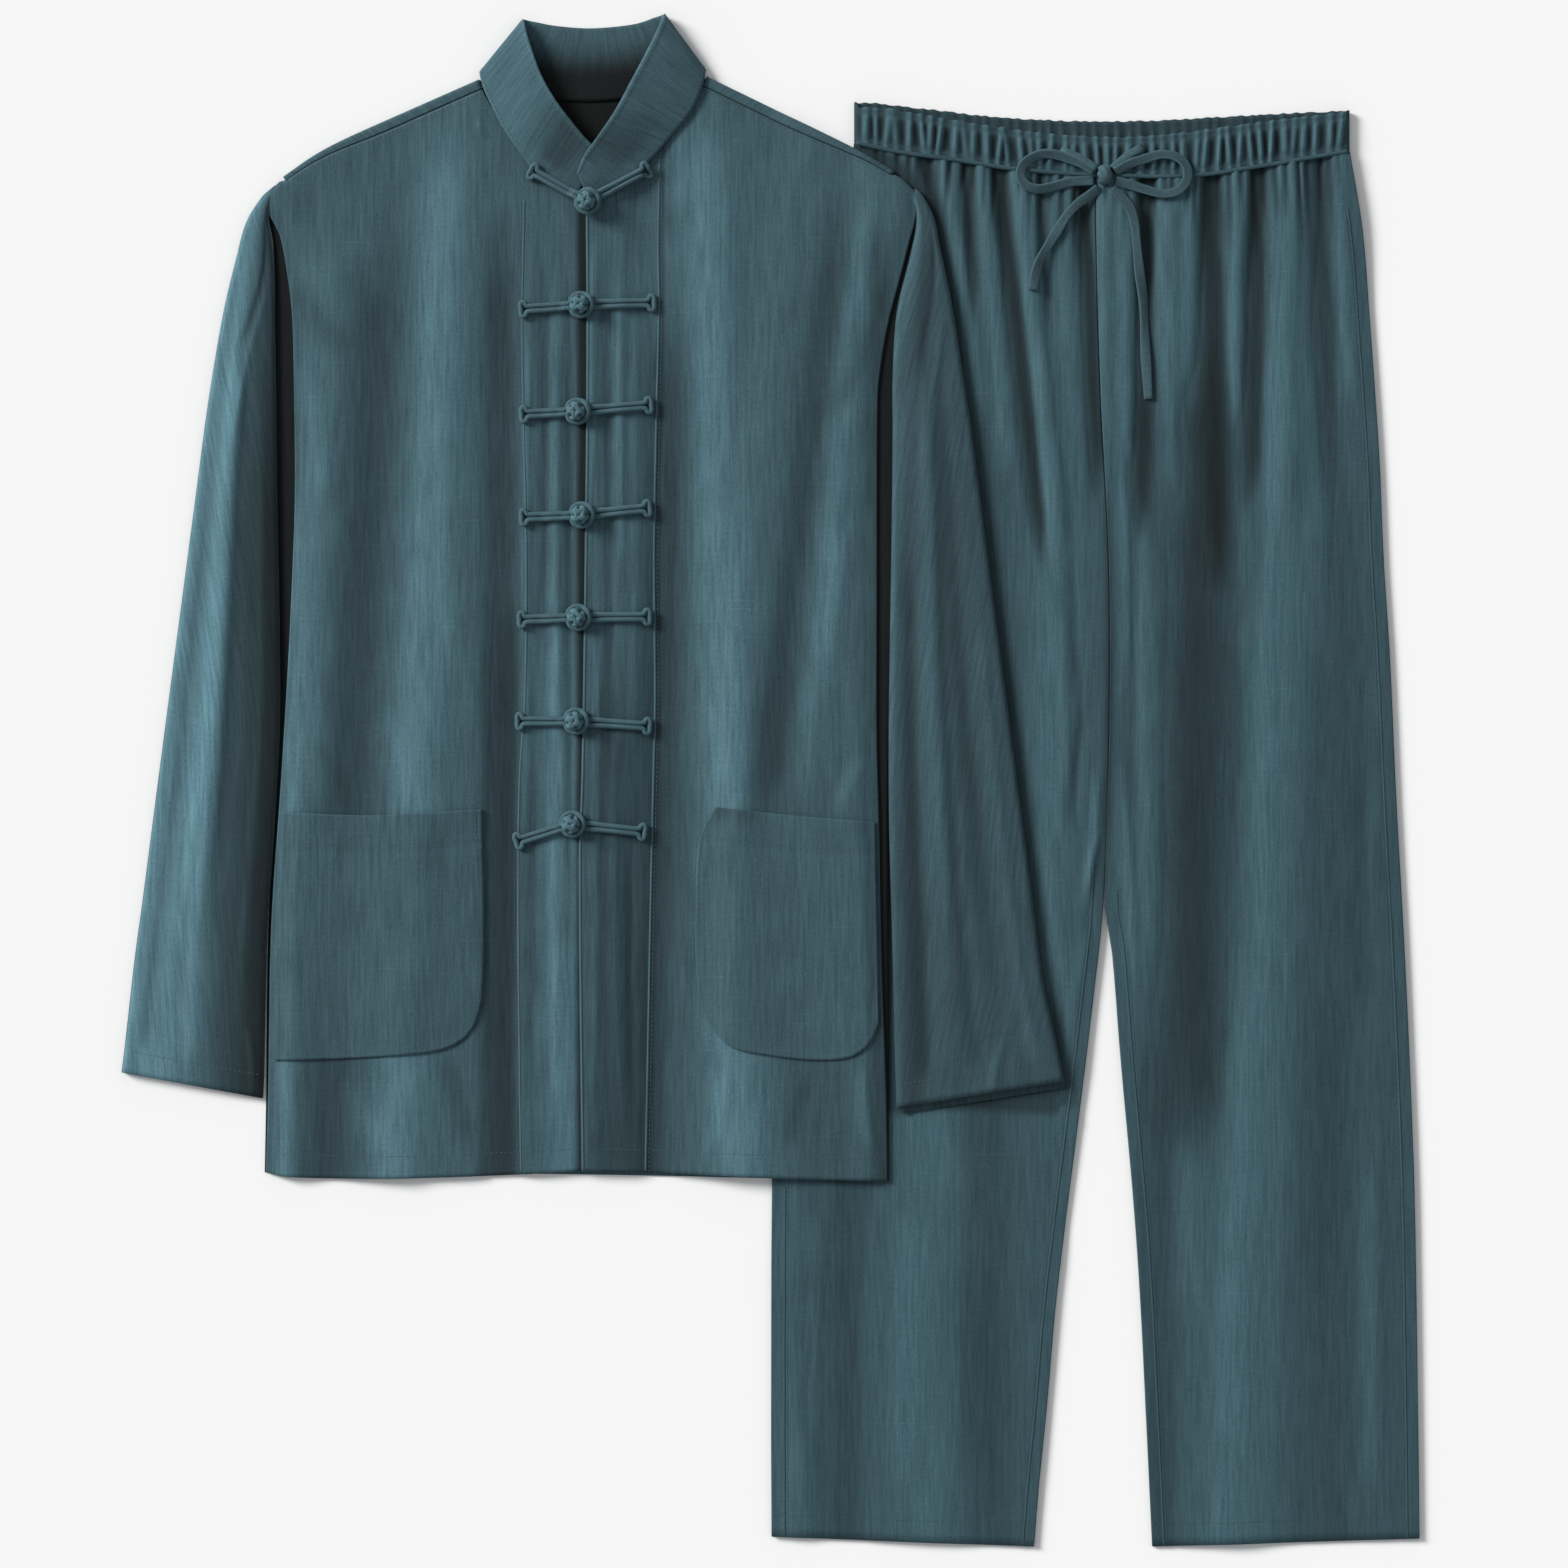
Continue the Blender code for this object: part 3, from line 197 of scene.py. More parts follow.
SLEEVE_CREASES_RIGHT = [
    Crease(0.64, 0.08, 0.62, 0.92, 9.0, 1.2, -4.0), Crease(0.30, 0.14, 0.30, 0.95, 8.0, -1.2, 4.0),
    Crease(0.84, 0.30, 0.80, 0.98, 7.0, -1.3, -3.0), Crease(0.46, 0.30, 0.50, 0.98, 7.0, -0.9, 3.0),
    Crease(0.14, 0.42, 0.13, 0.99, 6.0, 0.9, 3.0), Crease(0.24, 0.03, 0.74, 0.22, 6.0, -0.9, -5.0),
    Crease(0.12, 0.12, 0.60, 0.34, 6.0, 0.7, 5.0), Crease(0.30, 0.94, 0.44, 1.0, 4.0, 0.8, 2.0)]

# The stand collar: seam side and free edge, from its left end round the back to its right end
COLLAR = [
    Station(-138, 413, 7.0, -119, 446, 8.2), Station(-153, 420, 7.0, -129, 453, 9.4),
    Station(-166, 429, 7.0, -141, 467, 11.0), Station(-177, 444, 7.0, -153, 483, 12.4),
    Station(-190, 463, 7.0, -163, 501, 13.0), Station(-202.5, 488, 7.4, -171.5, 525, 12.2),
    Station(-206, 500, 6.2, -174.8, 537.5, 9.0), Station(-205.5, 503.5, 2.4, -175.5, 540, 3.0),
    Station(-198, 502, 0.0, -168, 538.5, 0.0), Station(-172, 489.5, 0.0, -152, 535.5, 0.0),
    Station(-127, 485.5, 0.0, -127, 533.8, 0.0), Station(-80, 491, 0.0, -98, 536.5, 0.0),
    Station(-54, 503, 0.0, -82, 541.5, 0.0), Station(-46.5, 505, 2.4, -75.5, 543.5, 3.2),
    Station(-46, 501.5, 6.2, -76, 541, 11.0), Station(-49, 489.5, 7.8, -84, 523, 14.2),
    Station(-56, 474, 7.8, -97, 498, 15.0), Station(-71, 455.5, 8.0, -110, 474, 14.6),
    Station(-86, 438.5, 8.6, -123, 455, 13.0), Station(-103, 423, 9.0, -132, 442.5, 12.0),
    Station(-129, 411.5, 9.2, -137, 430, 11.4)]

# Each frog: its ball, the foot of its loop half and the foot of its knot half
FROGS = [
    Frog(-129.6, 410, -168.5, 431.5, -87.5, 432.5), Frog(-134.5, 337, -175.5, 334, -84, 338.5),
    Frog(-137, 261.5, -175, 259.5, -86, 266), Frog(-134, 188, -175, 186.5, -87, 193),
    Frog(-136.5, 115.5, -176.5, 114, -87, 116), Frog(-138, 42, -178, 42, -87, 38.5),
    Frog(-140.5, -31, -179, -43, -90.5, -36.5)]
FOOT = ((4.8, 1.8), (2.5, 2.5), (1.4, 4.6), (-0.7, 4.9), (-1.6, 2.6), (-1.5, 0.9))
RING_ANGLES = (166, 135, 100, 62, 30, 0, -30, -62, -100, -135, -166)
BALL_GAP = 6.2
STRAND_RADIUS = 1.9
CORD_SIDES = 10
CORE_RADIUS = 4.3

POCKET_LEFT = [
    (-345.5, -22.5, 1), (-282, -24.5), (-204.8, -20.2, 1), (-203.2, -97), (-205, -154),
    (-209.5, -172), (-218, -183), (-231, -190), (-250, -193.5), (-300, -197), (-351.5, -198.5, 1)]
POCKET_RIGHT = [
    (74, -29.5, 1), (20, -25), (-39, -19, 1), (-50, -40), (-53, -84), (-52, -144), (-45, -171),
    (-29, -188), (2, -195), (33, -198), (56, -196), (69, -187), (76.5, -172, 1)]

TROUSER_OUTER_LEFT = [
    (0.7, -536.4), (0.4, -452), (1.1, -285), (4, -190), (9, -90), (16, 10), (23, 110), (31.6, 227),
    (40.8, 321), (49, 389), (59.3, 452.6)]
TROUSER_INNER_LEFT = [
    (187, -543.5), (190.6, -499), (196.3, -442), (202, -376), (209, -316), (218, -245), (229, -155),
    (236, -88), (240, 40), (239.6, 157), (234, 270), (230.4, 398), (231, 428.4)]
TROUSER_INNER_RIGHT = [
    (270.9, -543.5), (266.6, -453), (262.3, -367), (257.5, -298), (248.5, -198), (242.2, -120),
    (237.4, -88), (240.4, 40), (240, 157), (234.4, 270), (230.8, 398), (231.4, 428.4)]
TROUSER_OUTER_RIGHT = [
    (460.4, -537.8), (459.4, -453), (457, -298), (454, -213), (449.8, -120), (444, -14), (439.5, 86),
    (435, 157), (432, 228), (425.6, 321), (420, 389), (410.7, 446)]
TROUSER_HEM_LEFT = [(0.7, -536.4), (92, -540), (187, -543.5)]
TROUSER_HEM_RIGHT = [(270.9, -543.5), (365, -540.7), (460.4, -537.8)]
WAIST_SEAM = [
    (59.3, 452.6), (89, 446), (130, 440.2), (173, 433.5), (234, 429), (300, 429), (347, 435.5),
    (410.7, 446.2)]
WAIST_FRONT_TOP = [
    (60.5, 477.5), (80.6, 476.5), (130, 468.2), (173, 461.5), (211, 457.6), (252, 456.2),
    (293, 459.5), (347, 466.8), (406.5, 474)]
WAIST_BACK_TOP = [
    (61.4, 481), (73, 480.8), (116, 476), (157, 471.2), (211, 468.2), (265, 468.2), (320, 471),
    (374, 474), (405.8, 475.2)]

# Folds of the trousers, gathered at the waist and broad in the legs
GATHERS_LEFT = [
    Fold(110, 442, 128, 325, 5, -3.4), Fold(122, 442, 142, 300, 6, 1.8), Fold(140, 440, 143, 372, 4, -2.8),
    Fold(150, 440, 166, 260, 7, 1.2), Fold(162, 436, 189, 200, 5.5, -4.4), Fold(178, 434, 202, 200, 9, 2.6),
    Fold(192, 434, 196, 350, 4, -1.8), Fold(206, 434, 213, 290, 7, 1.0),
    Fold(222.5, 432, 230, 250, 4.5, -3.8)]
GATHERS_RIGHT = [
    Fold(238, 430, 238, 240, 7, 2.2), Fold(252, 430, 253, 270, 7, 2.0), Fold(267, 430, 264, 220, 5.5, -4.4),
    Fold(282, 430, 288, 230, 9, 2.4), Fold(301, 432, 297, 300, 6, 1.8), Fold(311, 433, 318, 180, 7.5, -4.2),
    Fold(333, 434, 331, 290, 7, 2.2), Fold(346, 436, 342, 240, 6.5, -3.6), Fold(369, 440, 366, 220, 11, 2.8),
    Fold(388, 442, 396, 240, 8, -2.2), Fold(402, 445, 410, 320, 6, 1.4)]
LEG_FOLDS_LEFT = [
    Fold(206, 190, 196, -120, 18, 1.6), Fold(150, -140, 160, -530, 17, -1.5),
    Fold(100, -150, 114, -530, 26, 1.2), Fold(54, -150, 52, -530, 14, -1.8),
    Fold(19, -150, 17, -530, 12, 1.2)]
LEG_FOLDS_RIGHT = [
    Fold(266, 140, 272, -150, 14, 1.4), Fold(304, 240, 300, -200, 21, -4.6),
    Fold(368, 230, 330, -530, 22, 2.4), Fold(404, 160, 396, -530, 24, -1.4),
    Fold(330, 60, 338, -120, 14, -1.0), Fold(276, -180, 277, -530, 12, -1.8),
    Fold(440, 60, 448, -500, 10, -0.8)]
CREASES_LEG_LEFT = [
    Crease(214, 240, 224, 20, 6, -1.0, 4.0), Crease(202, 150, 208, -60, 7, 0.9, -5.0),
    Crease(232, 20, 222, -100, 5, 1.2, -3.0), Crease(225, 60, 214, -40, 4.5, -1.1, 2.0),
    Crease(236, -30, 224, -90, 3.0, 1.0, 2.0), Crease(228, -90, 206, -280, 6, 0.8, 5.0),
    Crease(100, -300, 92, -520, 16, 0.8, -8.0), Crease(30, -200, 26, -500, 10, -0.8, 5.0),
    Crease(150, -330, 160, -525, 12, -0.9, 6.0), Crease(192, 340, 214, 180, 6, 0.8, 5.0),
    Crease(122, -200, 140, -300, 14, 0.7, 10.0)]
CREASES_LEG_RIGHT = [
    Crease(246, 260, 252, 40, 5, 1.0, -4.0), Crease(262, 200, 262, -80, 7, -1.0, 5.0),
    Crease(300, 260, 292, 60, 9, 0.8, 6.0), Crease(246, 30, 256, -170, 6, 0.9, -4.0),
    Crease(350, 280, 340, 90, 9, -0.8, -5.0), Crease(400, 270, 396, 60, 10, 0.8, 6.0),
    Crease(300, -120, 312, -420, 14, 0.8, 9.0), Crease(420, 60, 424, -200, 9, -0.8, 5.0),
    Crease(392, -120, 380, -400, 14, -0.7, -9.0), Crease(340, -260, 345, -525, 14, 0.7, 6.0),
    Crease(430, -240, 432, -520, 9, 0.8, 4.0), Crease(272, 300, 276, 150, 6, -0.8, 3.0)]

# The routes of the drawstring
BOW_KNOT = (236.8, 429.2)
KNOT_SIZE = (5.4, 4.6, 3.3)
TAPE_SIDES = 14
BOW_LOOP_LEFT = [
    (229.5, 431.5), (219, 437.5), (208.4, 441.5), (197, 444), (187, 442), (179, 436), (177, 428),
    (181, 421.5), (190, 419), (201, 421), (213, 424.3), (229.2, 425)]
BOW_LOOP_RIGHT = [
    (244.2, 431), (254, 436.5), (265, 440.2), (277, 443.5), (288, 441.5), (295, 434), (294.5, 424.5),
    (288, 417.5), (278, 415.7), (266, 418.5), (256, 421.5), (244.4, 424.6)]
BOW_TAIL_LEFT = [
    (232.5, 419.8), (226, 414.5), (218, 409), (210, 400.5), (204, 391), (198, 381), (191, 369),
    (187.5, 358), (185.7, 347.5)]
BOW_TAIL_RIGHT = [
    (241.6, 419.6), (248, 413.5), (254, 406), (257.5, 396), (259.5, 380), (261.5, 361), (264.3, 340),
    (265.3, 320), (266, 303), (267, 287), (268, 270.5)]


def ease(t):
    t = np.clip(t, 0.0, 1.0)
    return t * t * (3.0 - 2.0 * t)


def through(knots, values, at):
    """A smooth curve through values at their knots, read at many places."""
    knots, values, at = (np.asarray(a, float) for a in (knots, values, at))
    slopes = np.empty_like(values)
    slopes[1:-1] = ((values[2:] - values[:-2]).T / (knots[2:] - knots[:-2])).T
    slopes[0] = (values[1] - values[0]) / (knots[1] - knots[0])
    slopes[-1] = (values[-1] - values[-2]) / (knots[-1] - knots[-2])
    i = np.clip(np.searchsorted(knots, at, side="left") - 1, 0, len(knots) - 2)
    span = knots[i + 1] - knots[i]
    t = (at - knots[i]) / span
    if values.ndim > 1:
        t, span = t[..., None], span[..., None]
    return ((2 * t ** 3 - 3 * t ** 2 + 1) * values[i] + (t ** 3 - 2 * t ** 2 + t) * span * slopes[i]
            + (3 * t ** 2 - 2 * t ** 3) * values[i + 1] + (t ** 3 - t ** 2) * span * slopes[i + 1])


class Line:
    """A smooth line of the cut, broken at its corners."""

    def __init__(self, rows):
        self.xy = np.array([r[:2] for r in rows], float)
        corners = [i for i, r in enumerate(rows) if len(r) > 2]
        self.breaks = sorted({0, len(rows) - 1, *corners})
        self.knots = np.concatenate([[0.0], np.cumsum(np.hypot(*np.diff(self.xy, axis=0).T))])
        self.length = self.knots[-1]

    def at(self, t):
        s = np.clip(np.atleast_1d(np.asarray(t, float)), 0.0, 1.0) * self.length
        out = np.empty((len(s), 2))
        for a, b in zip(self.breaks, self.breaks[1:]):
            inside = (s >= self.knots[a]) & (s <= self.knots[b])
            out[inside] = through(self.knots[a:b + 1], self.xy[a:b + 1], s[inside])
        return out

    def _other(self, axis, value):
        order = np.argsort(self.xy[:, axis], kind="stable")
        keys = self.xy[order, axis]
        return through(keys, self.xy[order, 1 - axis], np.clip(value, keys[0], keys[-1]))

    def x_at_y(self, y):
        return self._other(1, y)

    def y_at_x(self, x):
        return self._other(0, x)


TROUSER_LEFT_EDGE = Line(TROUSER_OUTER_LEFT)
TROUSER_RIGHT_EDGE = Line(TROUSER_OUTER_RIGHT)
LEFT_SIDE = Line(JACKET_SIDE_LEFT)
RIGHT_SIDE = Line(JACKET_SIDE_RIGHT)
CUFF_Y = SLEEVE_RIGHT[-1].inner_y - 6.0
JACKET_HEM_Y = JACKET_SIDE_RIGHT[0][1] - 28.0


def fold_height(folds, x, y, fade=90.0):
    """The height of broad folds, each a soft ridge or trough along its line."""
    total = 0.0
    for fold in folds:
        along = (fold.top_y - y) / (fold.top_y - fold.foot_y)
        centre = fold.top_x + (fold.foot_x - fold.top_x) * along
        reach = np.minimum(fold.top_y - y, y - fold.foot_y) / fade + 1.0
        total = total + fold.height * ease(reach) * np.exp(-((x - centre) / fold.width) ** 2)
    return total


def crease_height(creases, x, y, ends=0.3, sharp=0.62):
    """The height of small creases: bowed, tapered at their ends, steeper on one side."""
    total = 0.0
    for c in creases:
        dx, dy = c.x1 - c.x0, c.y1 - c.y0
        length = math.hypot(dx, dy)
        along = ((x - c.x0) * dx + (y - c.y0) * dy) / length ** 2
        across = ((x - c.x0) * dy - (y - c.y0) * dx) / length - c.bow * 4 * along * (1 - along)
        taper = ease(along / ends) * ease((1 - along) / ends)
        width = c.width * np.where(across > 0, 1.0, sharp)
        total = total + c.height * taper * np.exp(-(across / width) ** 2)
    return total


def drift(x, y, size, seed):
    """Slow unevenness between -1 and 1, the same each time."""
    rng = np.random.default_rng(seed)
    total = 0.0
    for _ in range(5):
        a, b = rng.normal(size=2) / size
        total = total + np.sin(a * x + b * y + rng.uniform(0, math.tau))
    return total / 2.5


def bed(x, y):
    """What the jacket lies on: the floor, or the trousers where they lie under it."""
    return TROUSER_STACK * ease((x - TROUSER_LEFT_EDGE.x_at_y(y) + RAMP_START) / RAMP_WIDTH)


def front_lower(x, y, folds, creases):
    """The lower side of a jacket front."""
    side = np.minimum(x - LEFT_SIDE.x_at_y(y), RIGHT_SIDE.x_at_y(y) - x)
    loft = BODY_LOFT * ease(side / EDGE_ROUND)
    placket = ease((np.abs(x - CENTRE_X) - PLACKET_HALF) / EDGE_ROUND)
    waves = fold_height(folds, x, y) * placket * ease(side / (2 * EDGE_ROUND))
    small = (crease_height(creases, x, y) + 0.25 * drift(x, y, 18.0, 3)) * ease(side / 8.0)
    return bed(x, y) + LAYER + np.maximum(loft + waves + small, 0.0)


def front_left_lower(x, y):
    return front_lower(x, y, FOLDS_LEFT, CREASES_LEFT)


def front_right_lower(x, y):
    over = ease((LAP_X + 2.0 - x) / LAP_RAMP + 1.0)
    return front_lower(x, y, FOLDS_RIGHT, CREASES_RIGHT) + LAYER * over


def waist_pleats(x, y):
    """The small pleats under each gather of the casing, uneven in depth and length."""
    rng = np.random.default_rng(11)
    seam = Line(WAIST_SEAM)
    below = seam.y_at_x(x) - y
    total = 0.0
    for i in range(WAIST_GATHERS):
        centre = 62.0 + (408.0 - 62.0) * (i + 0.5 + rng.uniform(-0.22, 0.22)) / WAIST_GATHERS
        lean = (centre - 236.0) * 0.00045 * below + rng.uniform(-0.03, 0.03) * below
        length = rng.uniform(28.0, 95.0)
        width = rng.uniform(1.3, 2.3) * (1.0 + np.maximum(below, 0.0) / 70.0)
        depth = rng.uniform(0.7, 2.3)
        total = total - depth * ease(1.0 - below / length) * np.exp(-((x - centre - lean) / width) ** 2)
    return total


JACKET_OUTLINE = Line(SHOULDER_RIGHT[:3] + [(84, 435.6), (102.6, 417.8)]
                      + [(s.outer_x, s.outer_y) for s in SLEEVE_RIGHT[2:]])


def shelter(y):
    """The x of the jacket's outline over the trousers: its shoulder, then its sleeve."""
    return JACKET_OUTLINE.x_at_y(y)


def trouser_lower(x, y, gathers, folds, creases):
    """The lower side of a trouser front."""
    bare = ease((x - shelter(y) - 5.0) / 12.0)
    low = np.maximum(ease((JACKET_HEM_Y - y) / 40.0), ease((x - SLEEVE_RIGHT[-1].outer_x) / 14.0))
    bare = np.where(y < CUFF_Y, low, bare)
    waist = ease((y - 330.0) / 90.0)
    pleats = fold_height(gathers, x, y, 60.0)
    side = np.minimum(x - TROUSER_LEFT_EDGE.x_at_y(y), TROUSER_RIGHT_EDGE.x_at_y(y) - x)
    legs = (fold_height(folds, x, y) + crease_height(creases, x, y)) * ease(side / 24.0)
    small = 0.2 * drift(x, y, 20.0, 5) * ease(side / 10.0)
    loft = REST_LOFT + WAIST_LOFT * waist + pleats + legs + small
    seam = Line(WAIST_SEAM).y_at_x(x) - y
    fine = np.where(seam < 110.0, waist_pleats(x, y), 0.0)
    return LAYER + bare * np.maximum(loft + fine, 0.0)


LEG_DETAIL = {
    "left": (GATHERS_LEFT, LEG_FOLDS_LEFT, CREASES_LEG_LEFT),
    "right": (GATHERS_RIGHT, LEG_FOLDS_RIGHT, CREASES_LEG_RIGHT),
}


def leg_lower(side):
    return lambda x, y: trouser_lower(x, y, *LEG_DETAIL[side])


def shares(count, crowd=0.0):
    """Shares from 0 to 1, closer together at both ends when crowded."""
    t = np.linspace(0.0, 1.0, count + 1)
    return (1 - crowd) * t + crowd * ease(t)


def patch(bottom, top, left, right, u, v):
    """Points between four edge lines."""
    b, t, l, r = bottom(u), top(u), left(v), right(v)
    u, v = u[None, :, None], v[:, None, None]
    flat = (1 - u) * (1 - v) * b[0] + u * (1 - v) * b[-1] + (1 - u) * v * t[0] + u * v * t[-1]
    return (1 - v) * b[None] + v * t[None] + (1 - u) * l[:, None] + u * r[:, None] - flat


def joined(lines, parts):
    """Lines end to end as one, each over its share of the way."""
    def read(t):
        t = np.atleast_1d(t)
        out = np.empty((len(t), 2))
        start = 0.0
        for line, part in zip(lines, parts):
            inside = (t >= start - 1e-9)
            out[inside] = line(np.clip((t[inside] - start) / part, 0.0, 1.0))
            start += part
        return out
    return read


def inset(line, distance):
    """A line moved sideways to its right, by a distance or by one that changes along it."""
    def read(t):
        t = np.atleast_1d(t)
        a, b = line.at(t - 0.01), line.at(t + 0.01)
        ahead = (b - a) / np.hypot(*(b - a).T)[:, None]
        far = distance(t)[:, None] if callable(distance) else distance
        return line.at(t) + far * np.stack([ahead[:, 1], -ahead[:, 0]], axis=1)
    return read


def strip_width(side):
    """How far the back's shoulder strip reaches over the front: narrower at the shoulder point."""
    if side == "left":
        return lambda t: 0.8 + (SHOULDER_STRIP - 0.8) * ease(t / 0.55)
    return lambda t: 0.8 + (SHOULDER_STRIP - 0.8) * ease((1.0 - t) / 0.55)


def painted_relief_light(height, reach, strength, axis=1):
    """Painted shade and highlight from a place's height over what lies beside it: painted shade in hollows,
    painted highlight on crests.
    """
    pad = [(0, 0), (0, 0)]
    pad[axis] = (reach, reach)
    full = np.cumsum(np.pad(height, pad, mode="edge"), axis=axis)
    count = height.shape[axis]
    high = np.take(full, np.arange(2 * reach, 2 * reach + count), axis=axis)
    low = np.take(full, np.arange(0, count), axis=axis)
    mean = (high - low) / (2 * reach)
    return 1.0 + np.clip(strength * (height - mean), -0.8, 0.5)


def painted_fold_light(folds, creases, x, y, deep, fine, fade):
    """Painted shade and highlight from the folds and creases there: painted shade in troughs, painted
    highlight on crests.
    """
    height = deep * fold_height(folds, x, y, fade) + fine * crease_height(creases, x, y)
    return np.clip(np.exp(height), 0.28, 1.75)


def new_piece(name, verts, faces, uv, painted_light_and_yarn_tone, material):
    """A mesh object in metres from points in millimetres; uv is per face corner, and the painted shade and
    highlight that scale its colour are per point.
    """
    mesh = bpy.data.meshes.new(name)
    faces = faces if isinstance(faces, list) else faces.tolist()
    mesh.from_pydata((np.asarray(verts) * MM).tolist(), [], faces)
    layer = mesh.uv_layers.new(name="cloth")
    layer.data.foreach_set("uv", (uv * MM).astype(np.float32).ravel())
    values = np.asarray(painted_light_and_yarn_tone).ravel().astype(np.float32)
    mesh.attributes.new("painted_light_and_yarn_tone", "FLOAT", "POINT").data.foreach_set("value", values)
    mesh.shade_smooth()
    mesh.materials.append(material)
    thing = bpy.data.objects.new(name, mesh)
    bpy.context.scene.collection.objects.link(thing)
    return thing


def face_outward(mesh):
    """Turn the faces of closed shells outward."""
    bm = bmesh.new()
    bm.from_mesh(mesh)
    bmesh.ops.recalc_face_normals(bm, faces=bm.faces)
    bm.to_mesh(mesh)
    bm.free()


def quads(rows, columns, closed=False):
    """Faces of a grid of points, and the grid indices of their corners for the pattern's map."""
    i, j = np.meshgrid(np.arange(rows - 1), np.arange(columns if closed else columns - 1), indexing="ij")
    i, j = i.ravel(), j.ravel()
    k = (j + 1) % columns
    faces = np.stack([i * columns + j, i * columns + k, (i + 1) * columns + k, (i + 1) * columns + j], 1)
    wide = columns + 1 if closed else columns
    corners = np.stack([i * wide + j, i * wide + j + 1, (i + 1) * wide + j + 1, (i + 1) * wide + j], 1)
    return faces, corners


def cloth_sheet(name, top, uv, painted_light_and_yarn_tone, material, thickness=CLOTH):
    """A closed sheet under a grid of its upper points."""
    rows, columns = top.shape[:2]
    count = rows * columns
    upper = top.reshape(-1, 3)
    lower = upper - np.array([0.0, 0.0, thickness])
    faces, _ = quads(rows, columns)
    grid = np.arange(count).reshape(rows, columns)
    rim = np.concatenate([grid[0], grid[1:, -1], grid[-1, -2::-1], grid[-2:0:-1, 0]])
    after = np.roll(rim, -1)
    edge = np.stack([after, rim, rim + count, after + count], 1)
    faces = np.concatenate([faces, faces[:, ::-1] + count, edge])
    spread = np.concatenate([uv.reshape(-1, 2)] * 2)
    shade = np.concatenate([np.ravel(painted_light_and_yarn_tone)] * 2)
    return new_piece(name, np.concatenate([upper, lower]), faces, spread[faces.ravel()], shade, material)


def cloth_skin(name, rings, uv, painted_light_and_yarn_tone, material, thickness, closed, flip=False):
    """A wall inside a skin of rings of points."""
    rows, columns = rings.shape[:2]
    faces, corners = quads(rows, columns, closed)
    if flip:
        faces, corners = faces[:, ::-1], corners[:, ::-1]
    spread = uv.reshape(-1, 2)[corners.ravel()]
    thing = new_piece(name, rings.reshape(-1, 3), faces, spread, np.ravel(painted_light_and_yarn_tone), material)
    return walled(thing, thickness * MM, not closed)


def walled(thing, thickness, even):
    """Give an open skin a wall on the inner side of its faces."""
    wall = thing.modifiers.new("Wall", "SOLIDIFY")
    wall.thickness = thickness
    wall.offset = -1.0
    wall.use_even_offset = even
    return made_plain(thing)


def made_plain(thing):
    """Turn what the modifiers make into the object's own mesh."""
    bpy.context.view_layer.update()
    graph = bpy.context.evaluated_depsgraph_get()
    mesh = bpy.data.meshes.new_from_object(thing.evaluated_get(graph), depsgraph=graph)
    thing.modifiers.clear()
    thing.data = mesh
    return thing


def dress(thing, slot, *nodes):
    """Ride on the set and stand for its nodes."""
    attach(thing, "root")
    if nodes:
        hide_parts(*nodes)
    return thing


class Drape:
    """The upper side of finished pieces, to lay seams and small things on."""

    def __init__(self, *names):
        points, faces = [], []
        for name in names:
            mesh = bpy.data.objects[name].data
            start = len(points)
            points += [Vector(v.co) / MM for v in mesh.vertices]
            faces += [[start + i for i in f.vertices] for f in mesh.polygons]
        self.tree = BVHTree.FromPolygons(points, faces)

    def top(self, x, y, reach=0.0):
        best = 0.0
        spots = [(0.0, 0.0)]
        if reach > 0.0:
            spots += [(math.cos(k * math.pi / 4), math.sin(k * math.pi / 4)) for k in range(8)]
        for dx, dy in spots:
            hit = self.tree.ray_cast(Vector((x + dx * reach, y + dy * reach, 100.0)), Vector((0, 0, -1)))
            if hit[0] is not None:
                best = max(best, hit[0].z)
        return best


def swept(path, radii, sides, closed=False, flat=1.0, twist=None):
    """Rings of points round a path; flat is the height of the section over its width."""
    path = np.asarray(path, float)
    if closed:
        ahead = np.roll(path, -1, axis=0) - np.roll(path, 1, axis=0)
    else:
        ahead = np.gradient(path, axis=0)
    ahead /= np.linalg.norm(ahead, axis=1)[:, None]
    across = np.cross(ahead, [0.0, 0.0, 1.0])
    across /= np.maximum(np.linalg.norm(across, axis=1), 1e-6)[:, None]
    up = np.cross(across, ahead)
    if twist is not None:
        c, s = np.cos(twist)[:, None], np.sin(twist)[:, None]
        across, up = across * c + up * s, up * c - across * s
    radii = np.broadcast_to(np.asarray(radii, float), (len(path),))[:, None, None]
    angle = math.tau * np.arange(sides) / sides
    power = 1.0 if flat == 1.0 else 0.6
    cx = (np.sign(np.cos(angle)) * np.abs(np.cos(angle)) ** power)[None, :, None]
    cy = (np.sign(np.sin(angle)) * np.abs(np.sin(angle)) ** power)[None, :, None]
    return path[:, None] + radii * (across[:, None] * cx + up[:, None] * cy * flat)


